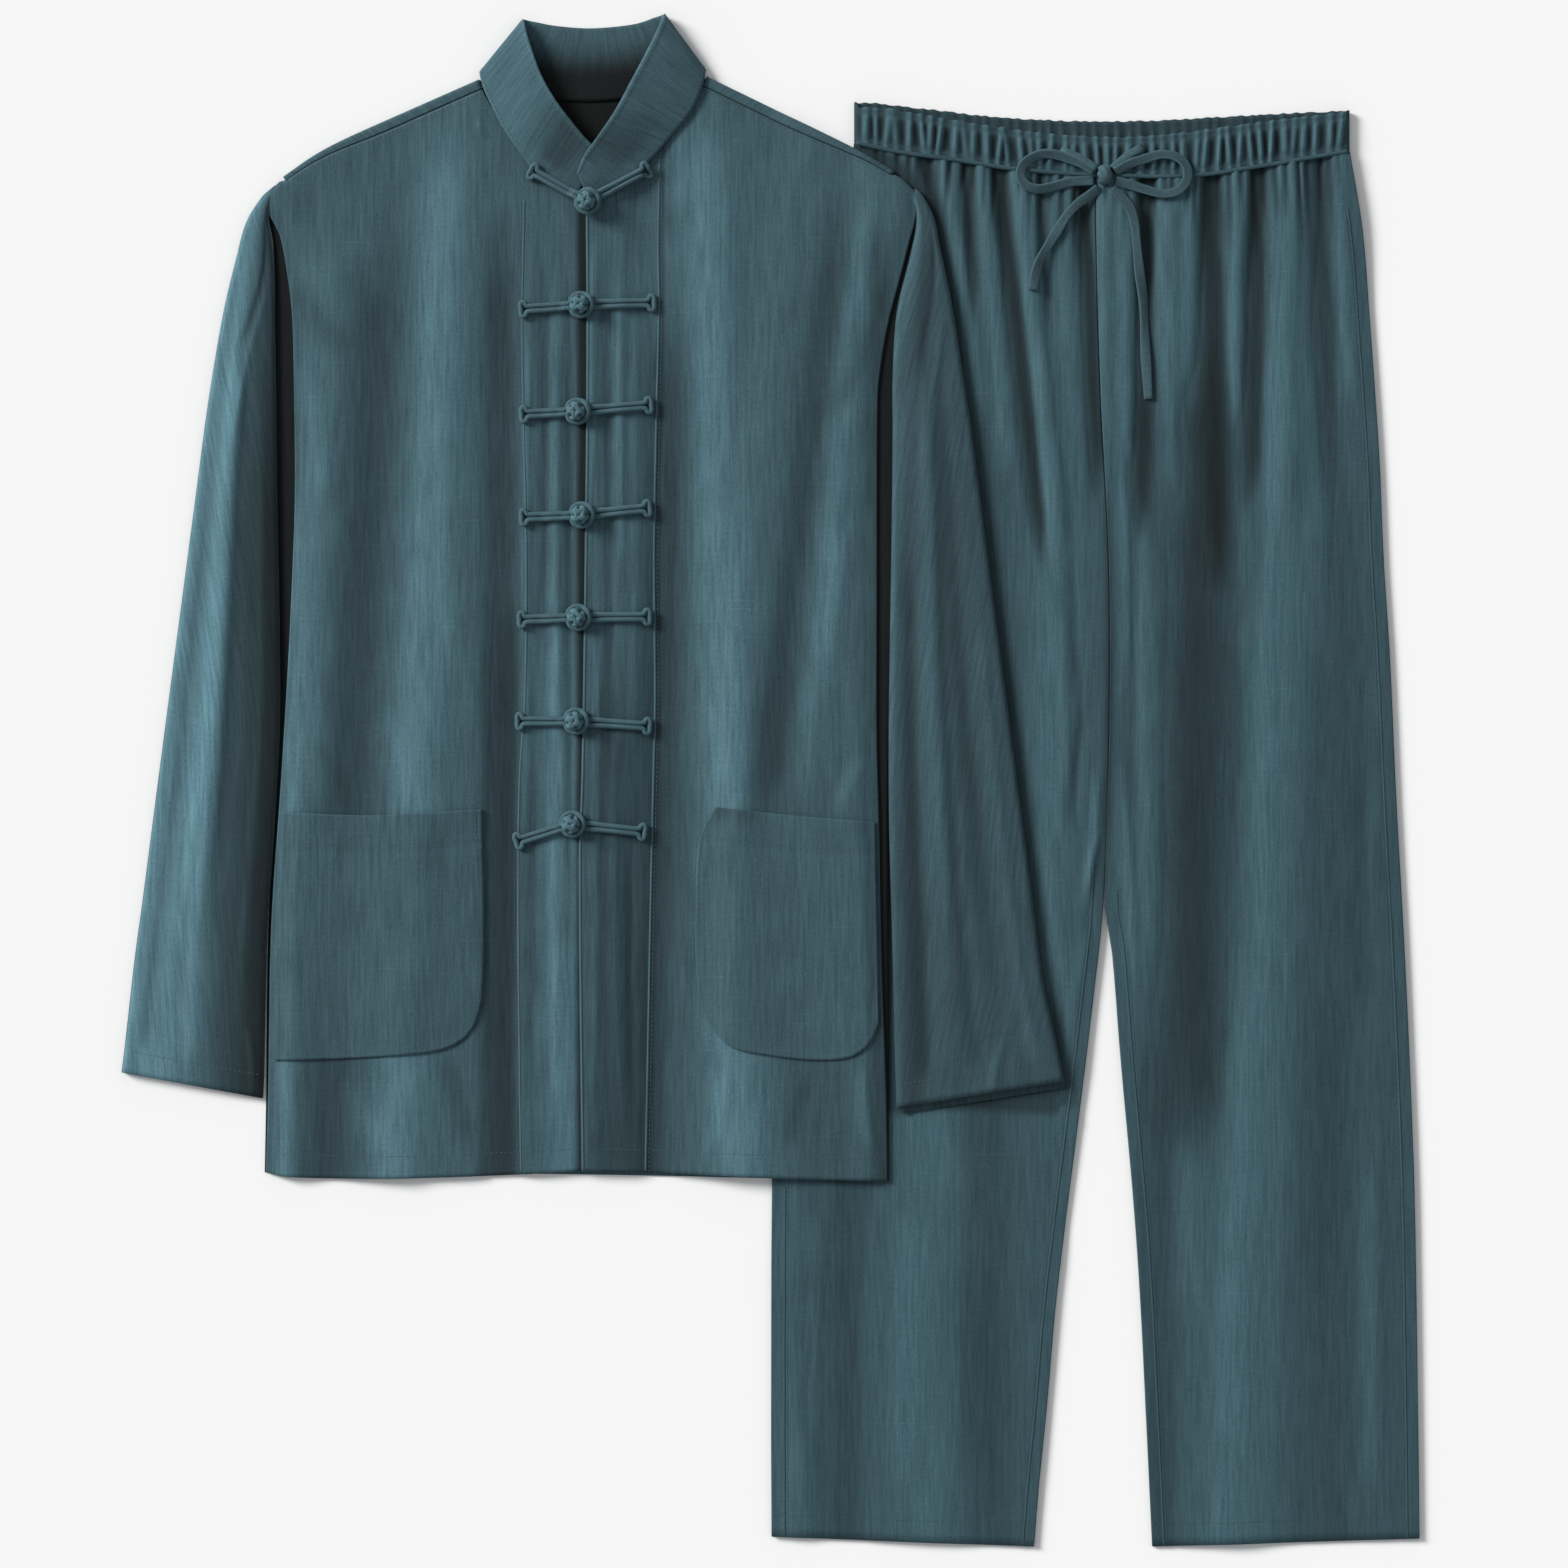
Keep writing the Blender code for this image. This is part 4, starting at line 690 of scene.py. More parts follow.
def cord_mesh(rings, closed):
    """Points and faces of a swept cord, with a map that runs round and along it."""
    rows, sides = rings.shape[:2]
    points = rings.reshape(-1, 3)
    centre = rings.mean(axis=1)
    step = np.linalg.norm(np.diff(centre, axis=0), axis=1)
    along = np.concatenate([[0.0], np.cumsum(step)])
    girth = np.linalg.norm(rings[0] - np.roll(rings[0], -1, axis=0), axis=1).sum()
    round_about = np.linspace(0.0, girth, sides + 1)
    faces, corners = quads(rows, sides, True)
    uv = np.stack(np.broadcast_arrays(round_about[None, :], along[:, None]), -1).reshape(-1, 2)
    faces, corners = faces[:, ::-1], corners[:, ::-1]
    spread = [uv[corners.ravel()]]
    faces = faces.tolist()
    if closed:
        last = (rows - 1) * sides
        for j in range(sides):
            k = (j + 1) % sides
            faces.append([j, k, last + k, last + j])
            spread.append(np.array([[round_about[j], 0], [round_about[j + 1], 0],
                                    [round_about[j + 1], -step[-1]], [round_about[j], -step[-1]]]))
    else:
        faces.append(list(range(sides)))
        faces.append([(rows - 1) * sides + j for j in reversed(range(sides))])
        spread.append(np.zeros((2 * sides, 2)))
    return points, faces, np.concatenate(spread)


def merge(parts):
    """Several meshes' points, faces and maps as one."""
    points, faces, uv = [], [], []
    start = 0
    for p, f, m in parts:
        points.append(p)
        faces += [[start + i for i in face] for face in f]
        uv.append(m)
        start += len(p)
    return np.concatenate(points), faces, np.concatenate(uv)


def cord_piece(name, parts, material, painted_light_and_yarn_tone=None):
    """One piece of several swept meshes."""
    points, faces, uv = merge(parts)
    thing = new_piece(name, points, faces, uv, np.ones(len(points)) if painted_light_and_yarn_tone is None else painted_light_and_yarn_tone, material)
    face_outward(thing.data)
    return thing


def round_core(segments, rings, radius, centre, size=1.0, lift=0.0):
    """Points, faces and a map of a ball, stretched by size and raised by lift."""
    bm = bmesh.new()
    bmesh.ops.create_uvsphere(bm, u_segments=segments, v_segments=rings, radius=radius)
    points = np.array([v.co for v in bm.verts]) * size + centre + lift
    faces = [[v.index for v in f.verts] for f in bm.faces]
    bm.free()
    return points, faces, np.concatenate([points[f][:, :2] for f in faces])


def node(tree, kind, *places, **settings):
    """A new node with its settings; places are pairs of input and value or output socket."""
    made = tree.nodes.new(kind)
    for key, value in settings.items():
        setattr(made, key, value)
    for key, value in places:
        socket = made.inputs[key]
        if isinstance(value, bpy.types.NodeSocket):
            tree.links.new(value, socket)
        else:
            socket.default_value = value
    return made


def math_node(tree, kind, *values):
    return node(tree, "ShaderNodeMath", *enumerate(values), operation=kind).outputs[0]


def scaled(tree, vector, x, y):
    return node(tree, "ShaderNodeVectorMath", (0, vector), (1, (x, y, 1.0)), operation="MULTIPLY").outputs[0]


def noise(tree, vector, detail=2.0, roughness=0.5):
    return node(tree, "ShaderNodeTexNoise", ("Vector", vector), ("Scale", 1.0), ("Detail", detail),
                ("Roughness", roughness)).outputs[0]


def slub_weave():
    """The plain weave of uneven yarn: a tone from 0 to 1 and a height, from the cloth's own map."""
    found = bpy.data.node_groups.get("slub_weave")
    if found:
        return found
    tree = bpy.data.node_groups.new("slub_weave", "ShaderNodeTree")
    tree.interface.new_socket("Cloth", in_out="INPUT", socket_type="NodeSocketVector")
    for label in ("Streak", "Slub", "Thread"):
        tree.interface.new_socket(label, in_out="INPUT", socket_type="NodeSocketFloat")
    tree.interface.new_socket("Tone", in_out="OUTPUT", socket_type="NodeSocketFloat")
    tree.interface.new_socket("Height", in_out="OUTPUT", socket_type="NodeSocketFloat")
    give = tree.nodes.new("NodeGroupInput")
    take = tree.nodes.new("NodeGroupOutput")
    cloth = give.outputs["Cloth"]
    broad = noise(tree, scaled(tree, cloth, 130.0, 9.0), 3.0, 0.6)
    streak = noise(tree, scaled(tree, cloth, 440.0, 26.0), 3.0, 0.65)
    weft = noise(tree, scaled(tree, cloth, 16.0, 620.0), 2.0, 0.6)
    grain = noise(tree, scaled(tree, cloth, 900.0, 420.0), 2.0, 0.6)
    slub = node(tree, "ShaderNodeMapRange", ("Value", weft), ("From Min", 0.60), ("From Max", 0.74),
                ("To Min", 0.0), ("To Max", 1.0)).outputs[0]
    parts = node(tree, "ShaderNodeSeparateXYZ", (0, cloth))
    warp_thread, weft_thread = (
        math_node(tree, "SINE", math_node(tree, "MULTIPLY", parts.outputs[axis], math.tau / pitch))
        for axis, pitch in ((0, WARP_PITCH), (1, WEFT_PITCH)))
    thread = math_node(tree, "MULTIPLY", warp_thread, weft_thread)
    streaks = math_node(tree, "ADD", math_node(tree, "MULTIPLY", broad, 0.25),
                        math_node(tree, "MULTIPLY", streak, 0.75))
    weight = math_node(tree, "MULTIPLY", give.outputs["Streak"], 1.9)
    centred = math_node(tree, "MULTIPLY", math_node(tree, "SUBTRACT", streaks, 0.5), weight)
    bits = math_node(tree, "MULTIPLY", math_node(tree, "SUBTRACT", grain, 0.5), 0.8)
    painted_light_and_yarn_tone = math_node(tree, "ADD", math_node(tree, "ADD", centred, bits), 0.5)
    painted_light_and_yarn_tone = math_node(tree, "ADD", painted_light_and_yarn_tone, math_node(tree, "MULTIPLY", slub, give.outputs["Slub"]))
    tree.links.new(painted_light_and_yarn_tone, take.inputs["Tone"])
    height = math_node(tree, "ADD", math_node(tree, "MULTIPLY", thread, give.outputs["Thread"]),
                       math_node(tree, "MULTIPLY", streak, 0.7))
    height = math_node(tree, "ADD", height, math_node(tree, "MULTIPLY", slub, 0.35))
    tree.links.new(height, take.inputs["Height"])
    return tree


def cloth_finish(name, dark, light, streak=1.0, slub=0.2, thread=0.3, bump=0.35):
    """Slubbed cotton and linen, its colour between a dark and a light, scaled by each point's painted shade
    and highlight: painted shade in its hollows.
    """
    found = bpy.data.materials.get(name)
    if found:
        return found
    material = bpy.data.materials.new(name)
    material.use_nodes = True
    tree = material.node_tree
    shader = tree.nodes["Principled BSDF"]
    cloth = node(tree, "ShaderNodeUVMap", uv_map="cloth").outputs[0]
    weave = node(tree, "ShaderNodeGroup", node_tree=slub_weave())
    tree.links.new(cloth, weave.inputs["Cloth"])
    for label, value in (("Streak", streak), ("Slub", slub), ("Thread", thread)):
        weave.inputs[label].default_value = value
    colour = node(tree, "ShaderNodeMix", ("Factor", weave.outputs["Tone"]), (6, tuple(dark)),
                  (7, tuple(light)), data_type="RGBA", clamp_factor=True)
    # Each point's painted shade and highlight scales the colour
    painted_light_and_yarn_tone = node(tree, "ShaderNodeAttribute", attribute_name="painted_light_and_yarn_tone").outputs["Fac"]
    colour_with_painted_light = node(tree, "ShaderNodeVectorMath", (0, colour.outputs[2]), ("Scale", painted_light_and_yarn_tone), operation="SCALE")
    tree.links.new(colour_with_painted_light.outputs[0], shader.inputs["Base Color"])
    rough = node(tree, "ShaderNodeMapRange", ("Value", weave.outputs["Tone"]), ("To Min", 0.9),
                 ("To Max", 0.78))
    tree.links.new(rough.outputs[0], shader.inputs["Roughness"])
    relief = node(tree, "ShaderNodeBump", ("Height", weave.outputs["Height"]), ("Strength", bump),
                  ("Distance", 0.0004))
    tree.links.new(relief.outputs[0], shader.inputs["Normal"])
    for label, value in (("Specular IOR Level", 0.25), ("Sheen Weight", 0.04), ("Sheen Roughness", 0.6),
                         ("Sheen Tint", (0.55, 0.75, 0.8, 1.0))):
        shader.inputs[label].default_value = value
    return material


def finishes():
    """The set's finishes by slot, from the panel's colours."""
    look = bpy.context.scene.uniform_cloth
    return {
        "jacket_cloth": cloth_finish("jacket_slub", look.jacket_dark, look.jacket_light),
        "trouser_cloth": cloth_finish("trouser_slub", look.trouser_dark, look.trouser_light),
        "jacket_cord": cloth_finish("rouleau", look.cord_dark, look.cord_light, 0.6, 0.1, 0.5, 0.5),
        "drawstring_tape": cloth_finish("tape_weave", look.trouser_dark, look.cord_light, 0.7, 0.1, 0.5,
                                        0.5),
    }


def colour_setting(name, what, *colour):
    return bpy.props.FloatVectorProperty(name=name, description=what, subtype="COLOR", size=4, min=0, max=1,
                                         default=(*colour, 1.0))


def length_setting(name, what, default, low, high):
    return bpy.props.FloatProperty(name=name, description=what, default=default, min=low, max=high,
                                   unit="LENGTH")


class UniformCloth(bpy.types.PropertyGroup):
    """Colours and thickness of the cloth."""
    jacket_dark: colour_setting("Jacket dark", "Dark yarn of the jacket", 0.022, 0.052, 0.066)
    jacket_light: colour_setting("Jacket light", "Light yarn of the jacket", 0.060, 0.122, 0.149)
    trouser_dark: colour_setting("Trousers dark", "Dark yarn of the trousers", 0.018, 0.043, 0.055)
    trouser_light: colour_setting("Trousers light", "Light yarn of the trousers", 0.044, 0.094, 0.115)
    cord_dark: colour_setting("Cord dark", "Dark yarn of the frogs", 0.026, 0.061, 0.075)
    cord_light: colour_setting("Cord light", "Light yarn of the frogs", 0.083, 0.165, 0.196)
    thickness: length_setting("Cloth thickness", "Thickness of one layer", CLOTH * MM, 0.0008, 0.002)


class UniformCords(bpy.types.PropertyGroup):
    """Sizes of the drawstring and the frogs' cord."""
    tape_width: length_setting("Drawstring width", "Width of the flat drawstring", 0.0068, 0.004, 0.01)
    tape_height: length_setting("Drawstring thickness", "Thickness of the flat drawstring", 0.0019, 0.001,
                                0.004)
    frog_cord: length_setting("Frog cord", "Diameter of the frogs' rouleau cord", 0.0036, 0.002, 0.004)


class UniformStitches(bpy.types.PropertyGroup):
    """Sizes of the topstitching."""
    pitch: length_setting("Stitch pitch", "Distance between stitches", 0.0032, 0.002, 0.006)
    length: length_setting("Stitch length", "Length of one stitch", 0.0024, 0.001, 0.005)
    thread: length_setting("Thread", "Thickness of the thread", 0.0005, 0.0002, 0.001)


class UniformStage(bpy.types.PropertyGroup):
    """Camera, floor and light."""
    lens: bpy.props.FloatProperty(
        name="Lens", description="Focal length of the camera in millimetres", default=120.0, min=35.0,
        max=200.0, subtype="DISTANCE_CAMERA")
    frame_width: bpy.props.FloatProperty(
        name="Framed width", description="Width of the floor that the picture shows", default=1.11328,
        min=0.5, max=3.0, unit="LENGTH")
    key: bpy.props.FloatProperty(
        name="Key light", description="Strength of the soft light from the upper left", default=4.0,
        min=0.0, max=10.0)
    fill: bpy.props.FloatProperty(
        name="Fill light", description="Strength of the light from all round", default=0.42, min=0.0,
        max=2.0)


class UNIFORM_OT_stage(bpy.types.Operator):
    """Lay the floor, hang the lights and place the camera"""
    bl_idname = "uniform.stage"
    bl_label = "Stage"

    def execute(self, context):
        settings = context.scene.uniform_stage
        mesh = bpy.data.meshes.new("floor")
        half = 6.0
        mesh.from_pydata([(-half, -half, 0), (half, -half, 0), (half, half, 0), (-half, half, 0)], [],
                         [(0, 1, 2, 3)])
        floor = bpy.data.objects.new("floor", mesh)
        context.scene.collection.objects.link(floor)
        pale = bpy.data.materials.new("floor_paper")
        pale.use_nodes = True
        shader = pale.node_tree.nodes["Principled BSDF"]
        shader.inputs["Base Color"].default_value = (0.93, 0.935, 0.94, 1.0)
        shader.inputs["Roughness"].default_value = 0.95
        mesh.materials.append(pale)

        world = bpy.data.worlds.new("studio")
        world.use_nodes = True
        background = world.node_tree.nodes["Background"]
        background.inputs["Color"].default_value = (0.97, 0.985, 1.0, 1.0)
        background.inputs["Strength"].default_value = settings.fill
        context.scene.world = world
        key = bpy.data.lights.new("key", "SUN")
        key.energy = settings.key
        key.angle = math.radians(22)
        key.color = (1.0, 0.985, 0.96)
        lamp = bpy.data.objects.new("key", key)
        lamp.rotation_euler = Vector(KEY_FROM).to_track_quat("Z", "Y").to_euler()
        context.scene.collection.objects.link(lamp)

        lens = bpy.data.cameras.new("camera")
        lens.lens = settings.lens
        lens.sensor_width = SENSOR
        lens.clip_start, lens.clip_end = 0.1, 50.0
        camera = bpy.data.objects.new("camera", lens)
        camera.location = (*FRAME_CENTRE, settings.frame_width * settings.lens / SENSOR)
        context.scene.collection.objects.link(camera)
        context.scene.camera = camera
        context.scene.view_settings.view_transform = "Standard"
        return {"FINISHED"}


def casing_front_top(x):
    """The height of the front of the waist casing, gathered unevenly."""
    steps = (x - 66.0) / (404.0 - 66.0)
    wave = 0.5 + 0.5 * np.sin(math.tau * (WAIST_GATHERS * steps + 0.35 * np.sin(steps * 41.0)))
    return WAIST_CLOTH + 0.9 * WAIST_WAVE + GAP + WAIST_CLOTH + WAIST_WAVE * wave


def under_bow(x, y):
    """The highest cloth under the drawstring near a place."""
    seam = Line(WAIST_SEAM)
    best = 0.0
    for dx in (-3.0, -1.5, 0.0, 1.5, 3.0):
        for dy in (-3.0, 0.0, 3.0):
            px, py = x + dx, y + dy
            side = leg_lower("left" if px < 235.0 else "right")
            cloth = float(side(np.array([px]), np.array([py]))[0]) + CLOTH
            if py > float(seam.y_at_x(np.array([px]))[0]):
                cloth = float(casing_front_top(np.array([px]))[0])
            best = max(best, cloth)
    return best


def tape_path(route, lift, height):
    """A route laid on the cloth, with a point every two millimetres."""
    line = Line(route)
    count = int(line.length / 2.0)
    xy = line.at(np.linspace(0, 1, count + 1))
    z = np.array([under_bow(x, y) for x, y in xy])
    z = np.array([z[max(i - 3, 0):i + 4].max() for i in range(len(z))])
    soft = np.convolve(np.pad(z, 4, mode="edge"), np.ones(9) / 9.0, mode="valid")
    return np.column_stack([xy, np.maximum(soft, z - 0.4) + lift + height / 2])


class UNIFORM_OT_drawstring(bpy.types.Operator):
    """Tie the drawstring in a bow with two loops and two free tails"""
    bl_idname = "uniform.drawstring"
    bl_label = "Drawstring"

    def execute(self, context):
        cords = context.scene.uniform_cords
        finish = finishes()["drawstring_tape"]
        width, height = cords.tape_width / MM, cords.tape_height / MM
        rows = (
            ("drawstring_loop_left", BOW_LOOP_LEFT, 0.6, "object"),
            ("drawstring_loop_right", BOW_LOOP_RIGHT, 0.6, "object"),
            ("drawstring_tail_left", BOW_TAIL_LEFT, 0.3, "bare"),
            ("drawstring_tail_right", BOW_TAIL_RIGHT, 0.3, "bare"))
        for name, route, lift, end in rows:
            path = tape_path(route, lift, height)
            t = np.linspace(0, 1, len(path))
            turn = 0.35 * np.sin(t * 9.0 + len(path))
            size = np.full(len(path), width / 2)
            if end == "bare":
                size *= 1.0 + 0.08 * np.sin(t * 17.0)
            rings = swept(path, size, TAPE_SIDES, flat=height / width, twist=turn)
            # Painted shade on the tape's flat faces, painted highlight along its edges
            edge = np.abs(np.cos(math.tau * np.arange(TAPE_SIDES) / TAPE_SIDES))
            shade = np.tile(0.62 + 0.60 * edge ** 2, len(path))
            piece = cord_piece(name + "_tape", [cord_mesh(rings, False)], finish, shade)
            dress(piece, "drawstring_tape", name)
        base = under_bow(*BOW_KNOT)
        parts = []
        for start, end_point in (((206, 446), (231, 433)), ((263.5, 448.5), (242, 433))):
            middle = ((start[0] + end_point[0]) / 2, (start[1] + end_point[1]) / 2 + 1.5)
            line = Line([start, middle, end_point])
            xy = line.at(np.linspace(0, 1, 14))
            z = np.array([under_bow(x, y) for x, y in xy]) + height / 2 + 0.1
            z[0] -= 2.5
            rings = swept(np.column_stack([xy, z]), width / 2 * 0.9, 12, flat=0.45)
            parts.append(cord_mesh(rings, False))
        centre = np.array([BOW_KNOT[0], BOW_KNOT[1], base])
        for lean, rise, reach in ((0.25, 0.0, 5.6), (-0.45, 0.5, 5.0)):
            angle = np.linspace(-0.15 * math.pi, 1.15 * math.pi, 22)
            wrap = np.column_stack([lean * reach * np.cos(angle), reach * np.cos(angle),
                                    1.2 + rise + 4.6 * np.sin(angle)]) + centre
            parts.append(cord_mesh(swept(wrap, 2.9, 12, flat=0.5), False))
        parts.append(round_core(20, 12, 1.0, centre, KNOT_SIZE, [0, 0, KNOT_SIZE[2]]))
        knot = cord_piece("drawstring_knot_tied", parts, finish)
        dress(knot, "drawstring_tape", "drawstring_knot")
        return {"FINISHED"}


def map_of(grid, turn=0.0):
    """The pattern's map of a flat panel: across and along its grain, in millimetres."""
    c, s = math.cos(turn), math.sin(turn)
    x, y = grid[..., 0], grid[..., 1]
    return np.stack([x * c + y * s, y * c - x * s], -1)


class UNIFORM_OT_trousers(bpy.types.Operator):
    """Make the four trouser panels"""
    bl_idname = "uniform.trousers"
    bl_label = "Trousers"

    def execute(self, context):
        finish = finishes()["trouser_cloth"]
        seam = Line(WAIST_SEAM)
        legs = (("left", TROUSER_HEM_LEFT, TROUSER_OUTER_LEFT, TROUSER_INNER_LEFT),
                ("right", TROUSER_HEM_RIGHT, TROUSER_INNER_RIGHT, TROUSER_OUTER_RIGHT))
        for side, hem, left, right in legs:
            x = np.linspace(left[-1][0], right[-1][0], 7)
            waist = Line(list(zip(x, seam.y_at_x(x) - 2 * GAP)))
            edges = (Line(hem).at, waist.at, Line(left).at, Line(right).at)
            grid = patch(*edges, shares(40), shares(60))
            top = np.dstack([grid, np.full(grid.shape[:2], CLOTH)])
            # Painted shade: the back panels are darkened throughout
            painted_light_and_yarn_tone = np.full(grid.shape[:2], 0.55)
            back = cloth_sheet("trouser_back_%s_cloth" % side, top, map_of(grid), painted_light_and_yarn_tone, finish)
            dress(back, "trouser_cloth", "trouser_back_" + side)

            v = 1.0 - shares(190) ** 1.35
            grid = patch(*edges, shares(150, 0.35), v[::-1])
            lower = leg_lower(side)(grid[..., 0], grid[..., 1])
            top = np.dstack([grid, lower + CLOTH])
            x, y = grid[..., 0], grid[..., 1]
            gathers, folds, creases = LEG_DETAIL[side]
            # Painted shade and highlight of the gathers, folds and small pleats
            painted_light_and_yarn_tone = painted_fold_light(gathers, creases, x, y, 0.32, 0.26, 60.0) * painted_relief_light(lower, 5, 0.12)
            painted_light_and_yarn_tone = painted_light_and_yarn_tone * np.exp(0.22 * fold_height(folds, x, y) + 0.62 * waist_pleats(x, y) + 0.1)
            painted_light_and_yarn_tone = np.clip(painted_light_and_yarn_tone, 0.16, 1.5)
            # Painted shadow of the jacket's shoulder and sleeve on the trousers, beside its outline
            shadow = np.maximum(x - shelter(y), 0.0)
            painted_light_and_yarn_tone = painted_light_and_yarn_tone * (1.0 - 0.5 * np.exp(-(shadow / 11.0) ** 2) * (y > CUFF_Y + 4.0))
            # Painted shade in the hollow along the inner leg edge
            inner = Line(TROUSER_INNER_LEFT if side == "left" else TROUSER_INNER_RIGHT)
            gap = np.abs(x - inner.x_at_y(y))
            rise = ease((y + 140.0) / 120.0) * ease((330.0 - y) / 260.0)
            painted_light_and_yarn_tone = painted_light_and_yarn_tone * (1.0 - 0.55 * rise * np.exp(-(gap / 4.0) ** 2))
            front = cloth_sheet("trouser_front_%s_cloth" % side, top, map_of(grid), painted_light_and_yarn_tone, finish)
            dress(front, "trouser_cloth", "trouser_front_" + side)
        return {"FINISHED"}


# Where the casing is stitched through, as shares of its height
CASING_STITCH_ROWS = (0.13, 0.86)


class UNIFORM_OT_waistband(bpy.types.Operator):
    """Gather the casing of the waist"""
    bl_idname = "uniform.waistband"
    bl_label = "Waist casing"

    def execute(self, context):
        finish = finishes()["trouser_cloth"]
        seam, front, back = Line(WAIST_SEAM), Line(WAIST_FRONT_TOP), Line(WAIST_BACK_TOP)
        floor_of_front = WAIST_CLOTH + 0.9 * WAIST_WAVE + GAP
        radius = (floor_of_front + WAIST_CLOTH + 0.5 * WAIST_WAVE) / 2
        left, right = seam.xy[0, 0] + radius, seam.xy[-1, 0] - radius
        across = np.linspace(0.0, 1.0, 15)
        thickness = 1.5

        def strip(x, top_line, low_z, swell, seed, count):
            """Points of one side of the casing, over x and up its height."""
            low, high = seam.y_at_x(x) + GAP / 2, top_line.y_at_x(x)
            v = across[:, None]
            y = low + (high - low) * v
            puff = np.sin(np.pi * np.clip(v * 0.96 + 0.02, 0, 1)) ** 0.55
            below, above = (np.clip(np.abs(v - row) * 9.0, 0, 1) for row in CASING_STITCH_ROWS)
            pull = 0.35 + 0.65 * below * above
            rng = np.random.default_rng(seed)
            spots = (np.arange(count) + 0.5 + rng.uniform(-0.25, 0.25, count)) / count
            lean = rng.uniform(-1.6, 1.6, count)
            depth = rng.uniform(0.6, 1.0, count)
            width = rng.uniform(0.24, 0.40, count) * (right - left) / count
            wave = 0.0
            for spot, slant, deep, wide in zip(spots, lean, depth, width):
                middle = left + (right - left) * spot + slant * (v - 0.5) * 2
                wave = wave + deep * np.exp(-((x[None] - middle) / wide) ** 2)
            z = low_z + swell * np.clip(wave, 0, 1.15) * pull * (0.35 + 0.65 * puff)
            scallop = 0.9 * (wave - 0.6) * ease((v - 0.75) / 0.25)
            return np.stack([np.broadcast_to(x[None], z.shape), y + scallop, z], -1)

        steps = 7 * WAIST_GATHERS
        x = np.linspace(left, right, steps + 1)
        face = strip(x, front, floor_of_front + thickness, WAIST_WAVE + 1.9, 21, WAIST_GATHERS)
        behind = strip(x[::-1], back, thickness * 0.75, 0.9 * WAIST_WAVE + 0.4, 22, WAIST_GATHERS)

        def turn(x0, side):
            rows = []
            angles = np.radians([120, 90, 60]) if side > 0 else np.radians([60, 90, 120])
            for a in angles:
                px = x0 + side * radius * math.sin(a)
                low = float(seam.y_at_x(px)) + GAP
                high = float(back.y_at_x(x0))
                share = 0.5 - 0.5 * math.cos(a)
                rows.append(np.column_stack([np.full(15, px), low + (high - low) * across,
                                             np.full(15, 0.6 + 2 * radius * share * 0.93)]))
            return np.stack(rows, 1)

        # The ring of outer points: the face, the right turn, the under side, the left turn
        under = behind.copy()
        under[..., 2] = 0.05
        ring = np.concatenate([face, turn(right, 1), under, turn(left, -1)], axis=1)
        inner = np.concatenate([
            face - [0, 0, thickness], turn(right, 1) - [thickness * 0.8, 0, 0],
            behind, turn(left, -1) + [thickness * 0.8, 0, 0]], axis=1)
        rows, columns = ring.shape[:2]
        count = rows * columns
        faces, corners = quads(rows, columns, True)
        grid = np.arange(count).reshape(rows, columns)
        ends = []
        for row, flip in ((0, False), (rows - 1, True)):
            a = grid[row]
            b = np.roll(a, -1)
            edge = np.stack([b, a, a + count, b + count], 1)
            ends.append(edge[:, ::-1] if flip else edge)
        faces = np.concatenate([faces, faces[:, ::-1] + count, *ends])
        points = np.concatenate([ring.reshape(-1, 3), inner.reshape(-1, 3)])
        length = np.linalg.norm(np.diff(ring[7], axis=0), axis=1)
        along = np.concatenate([[0.0], np.cumsum(length)])
        spread = np.stack(np.broadcast_arrays(along[None], (across * 25.0)[:, None]), -1).reshape(-1, 2)
        spread = np.concatenate([spread, spread])
        # Painted shade and highlight: the gathers' hollows darker and crests lighter, the back side and the
        # turns darker, and the inside darker still
        face_painted_light = 1.05 * painted_relief_light(face[..., 2], 5, 0.62)
        back_painted_light = 0.62 * painted_relief_light(behind[..., 2], 4, 0.6)
        side_painted_light = np.full((rows, 3), 0.75)
        painted_light_and_yarn_tone = np.concatenate([face_painted_light, side_painted_light, back_painted_light, side_painted_light], axis=1)
        inner_painted_light = np.concatenate([0.3 * face_painted_light, side_painted_light, back_painted_light, side_painted_light], axis=1)
        band = new_piece("waistband_casing", points, faces, spread[faces.ravel()],
                         np.concatenate([painted_light_and_yarn_tone.ravel(), inner_painted_light.ravel()]), finish)
        face_outward(band.data)
        dress(band, "trouser_cloth", "waistband")
        return {"FINISHED"}


BACK_COLUMNS = (40, 60, 48)


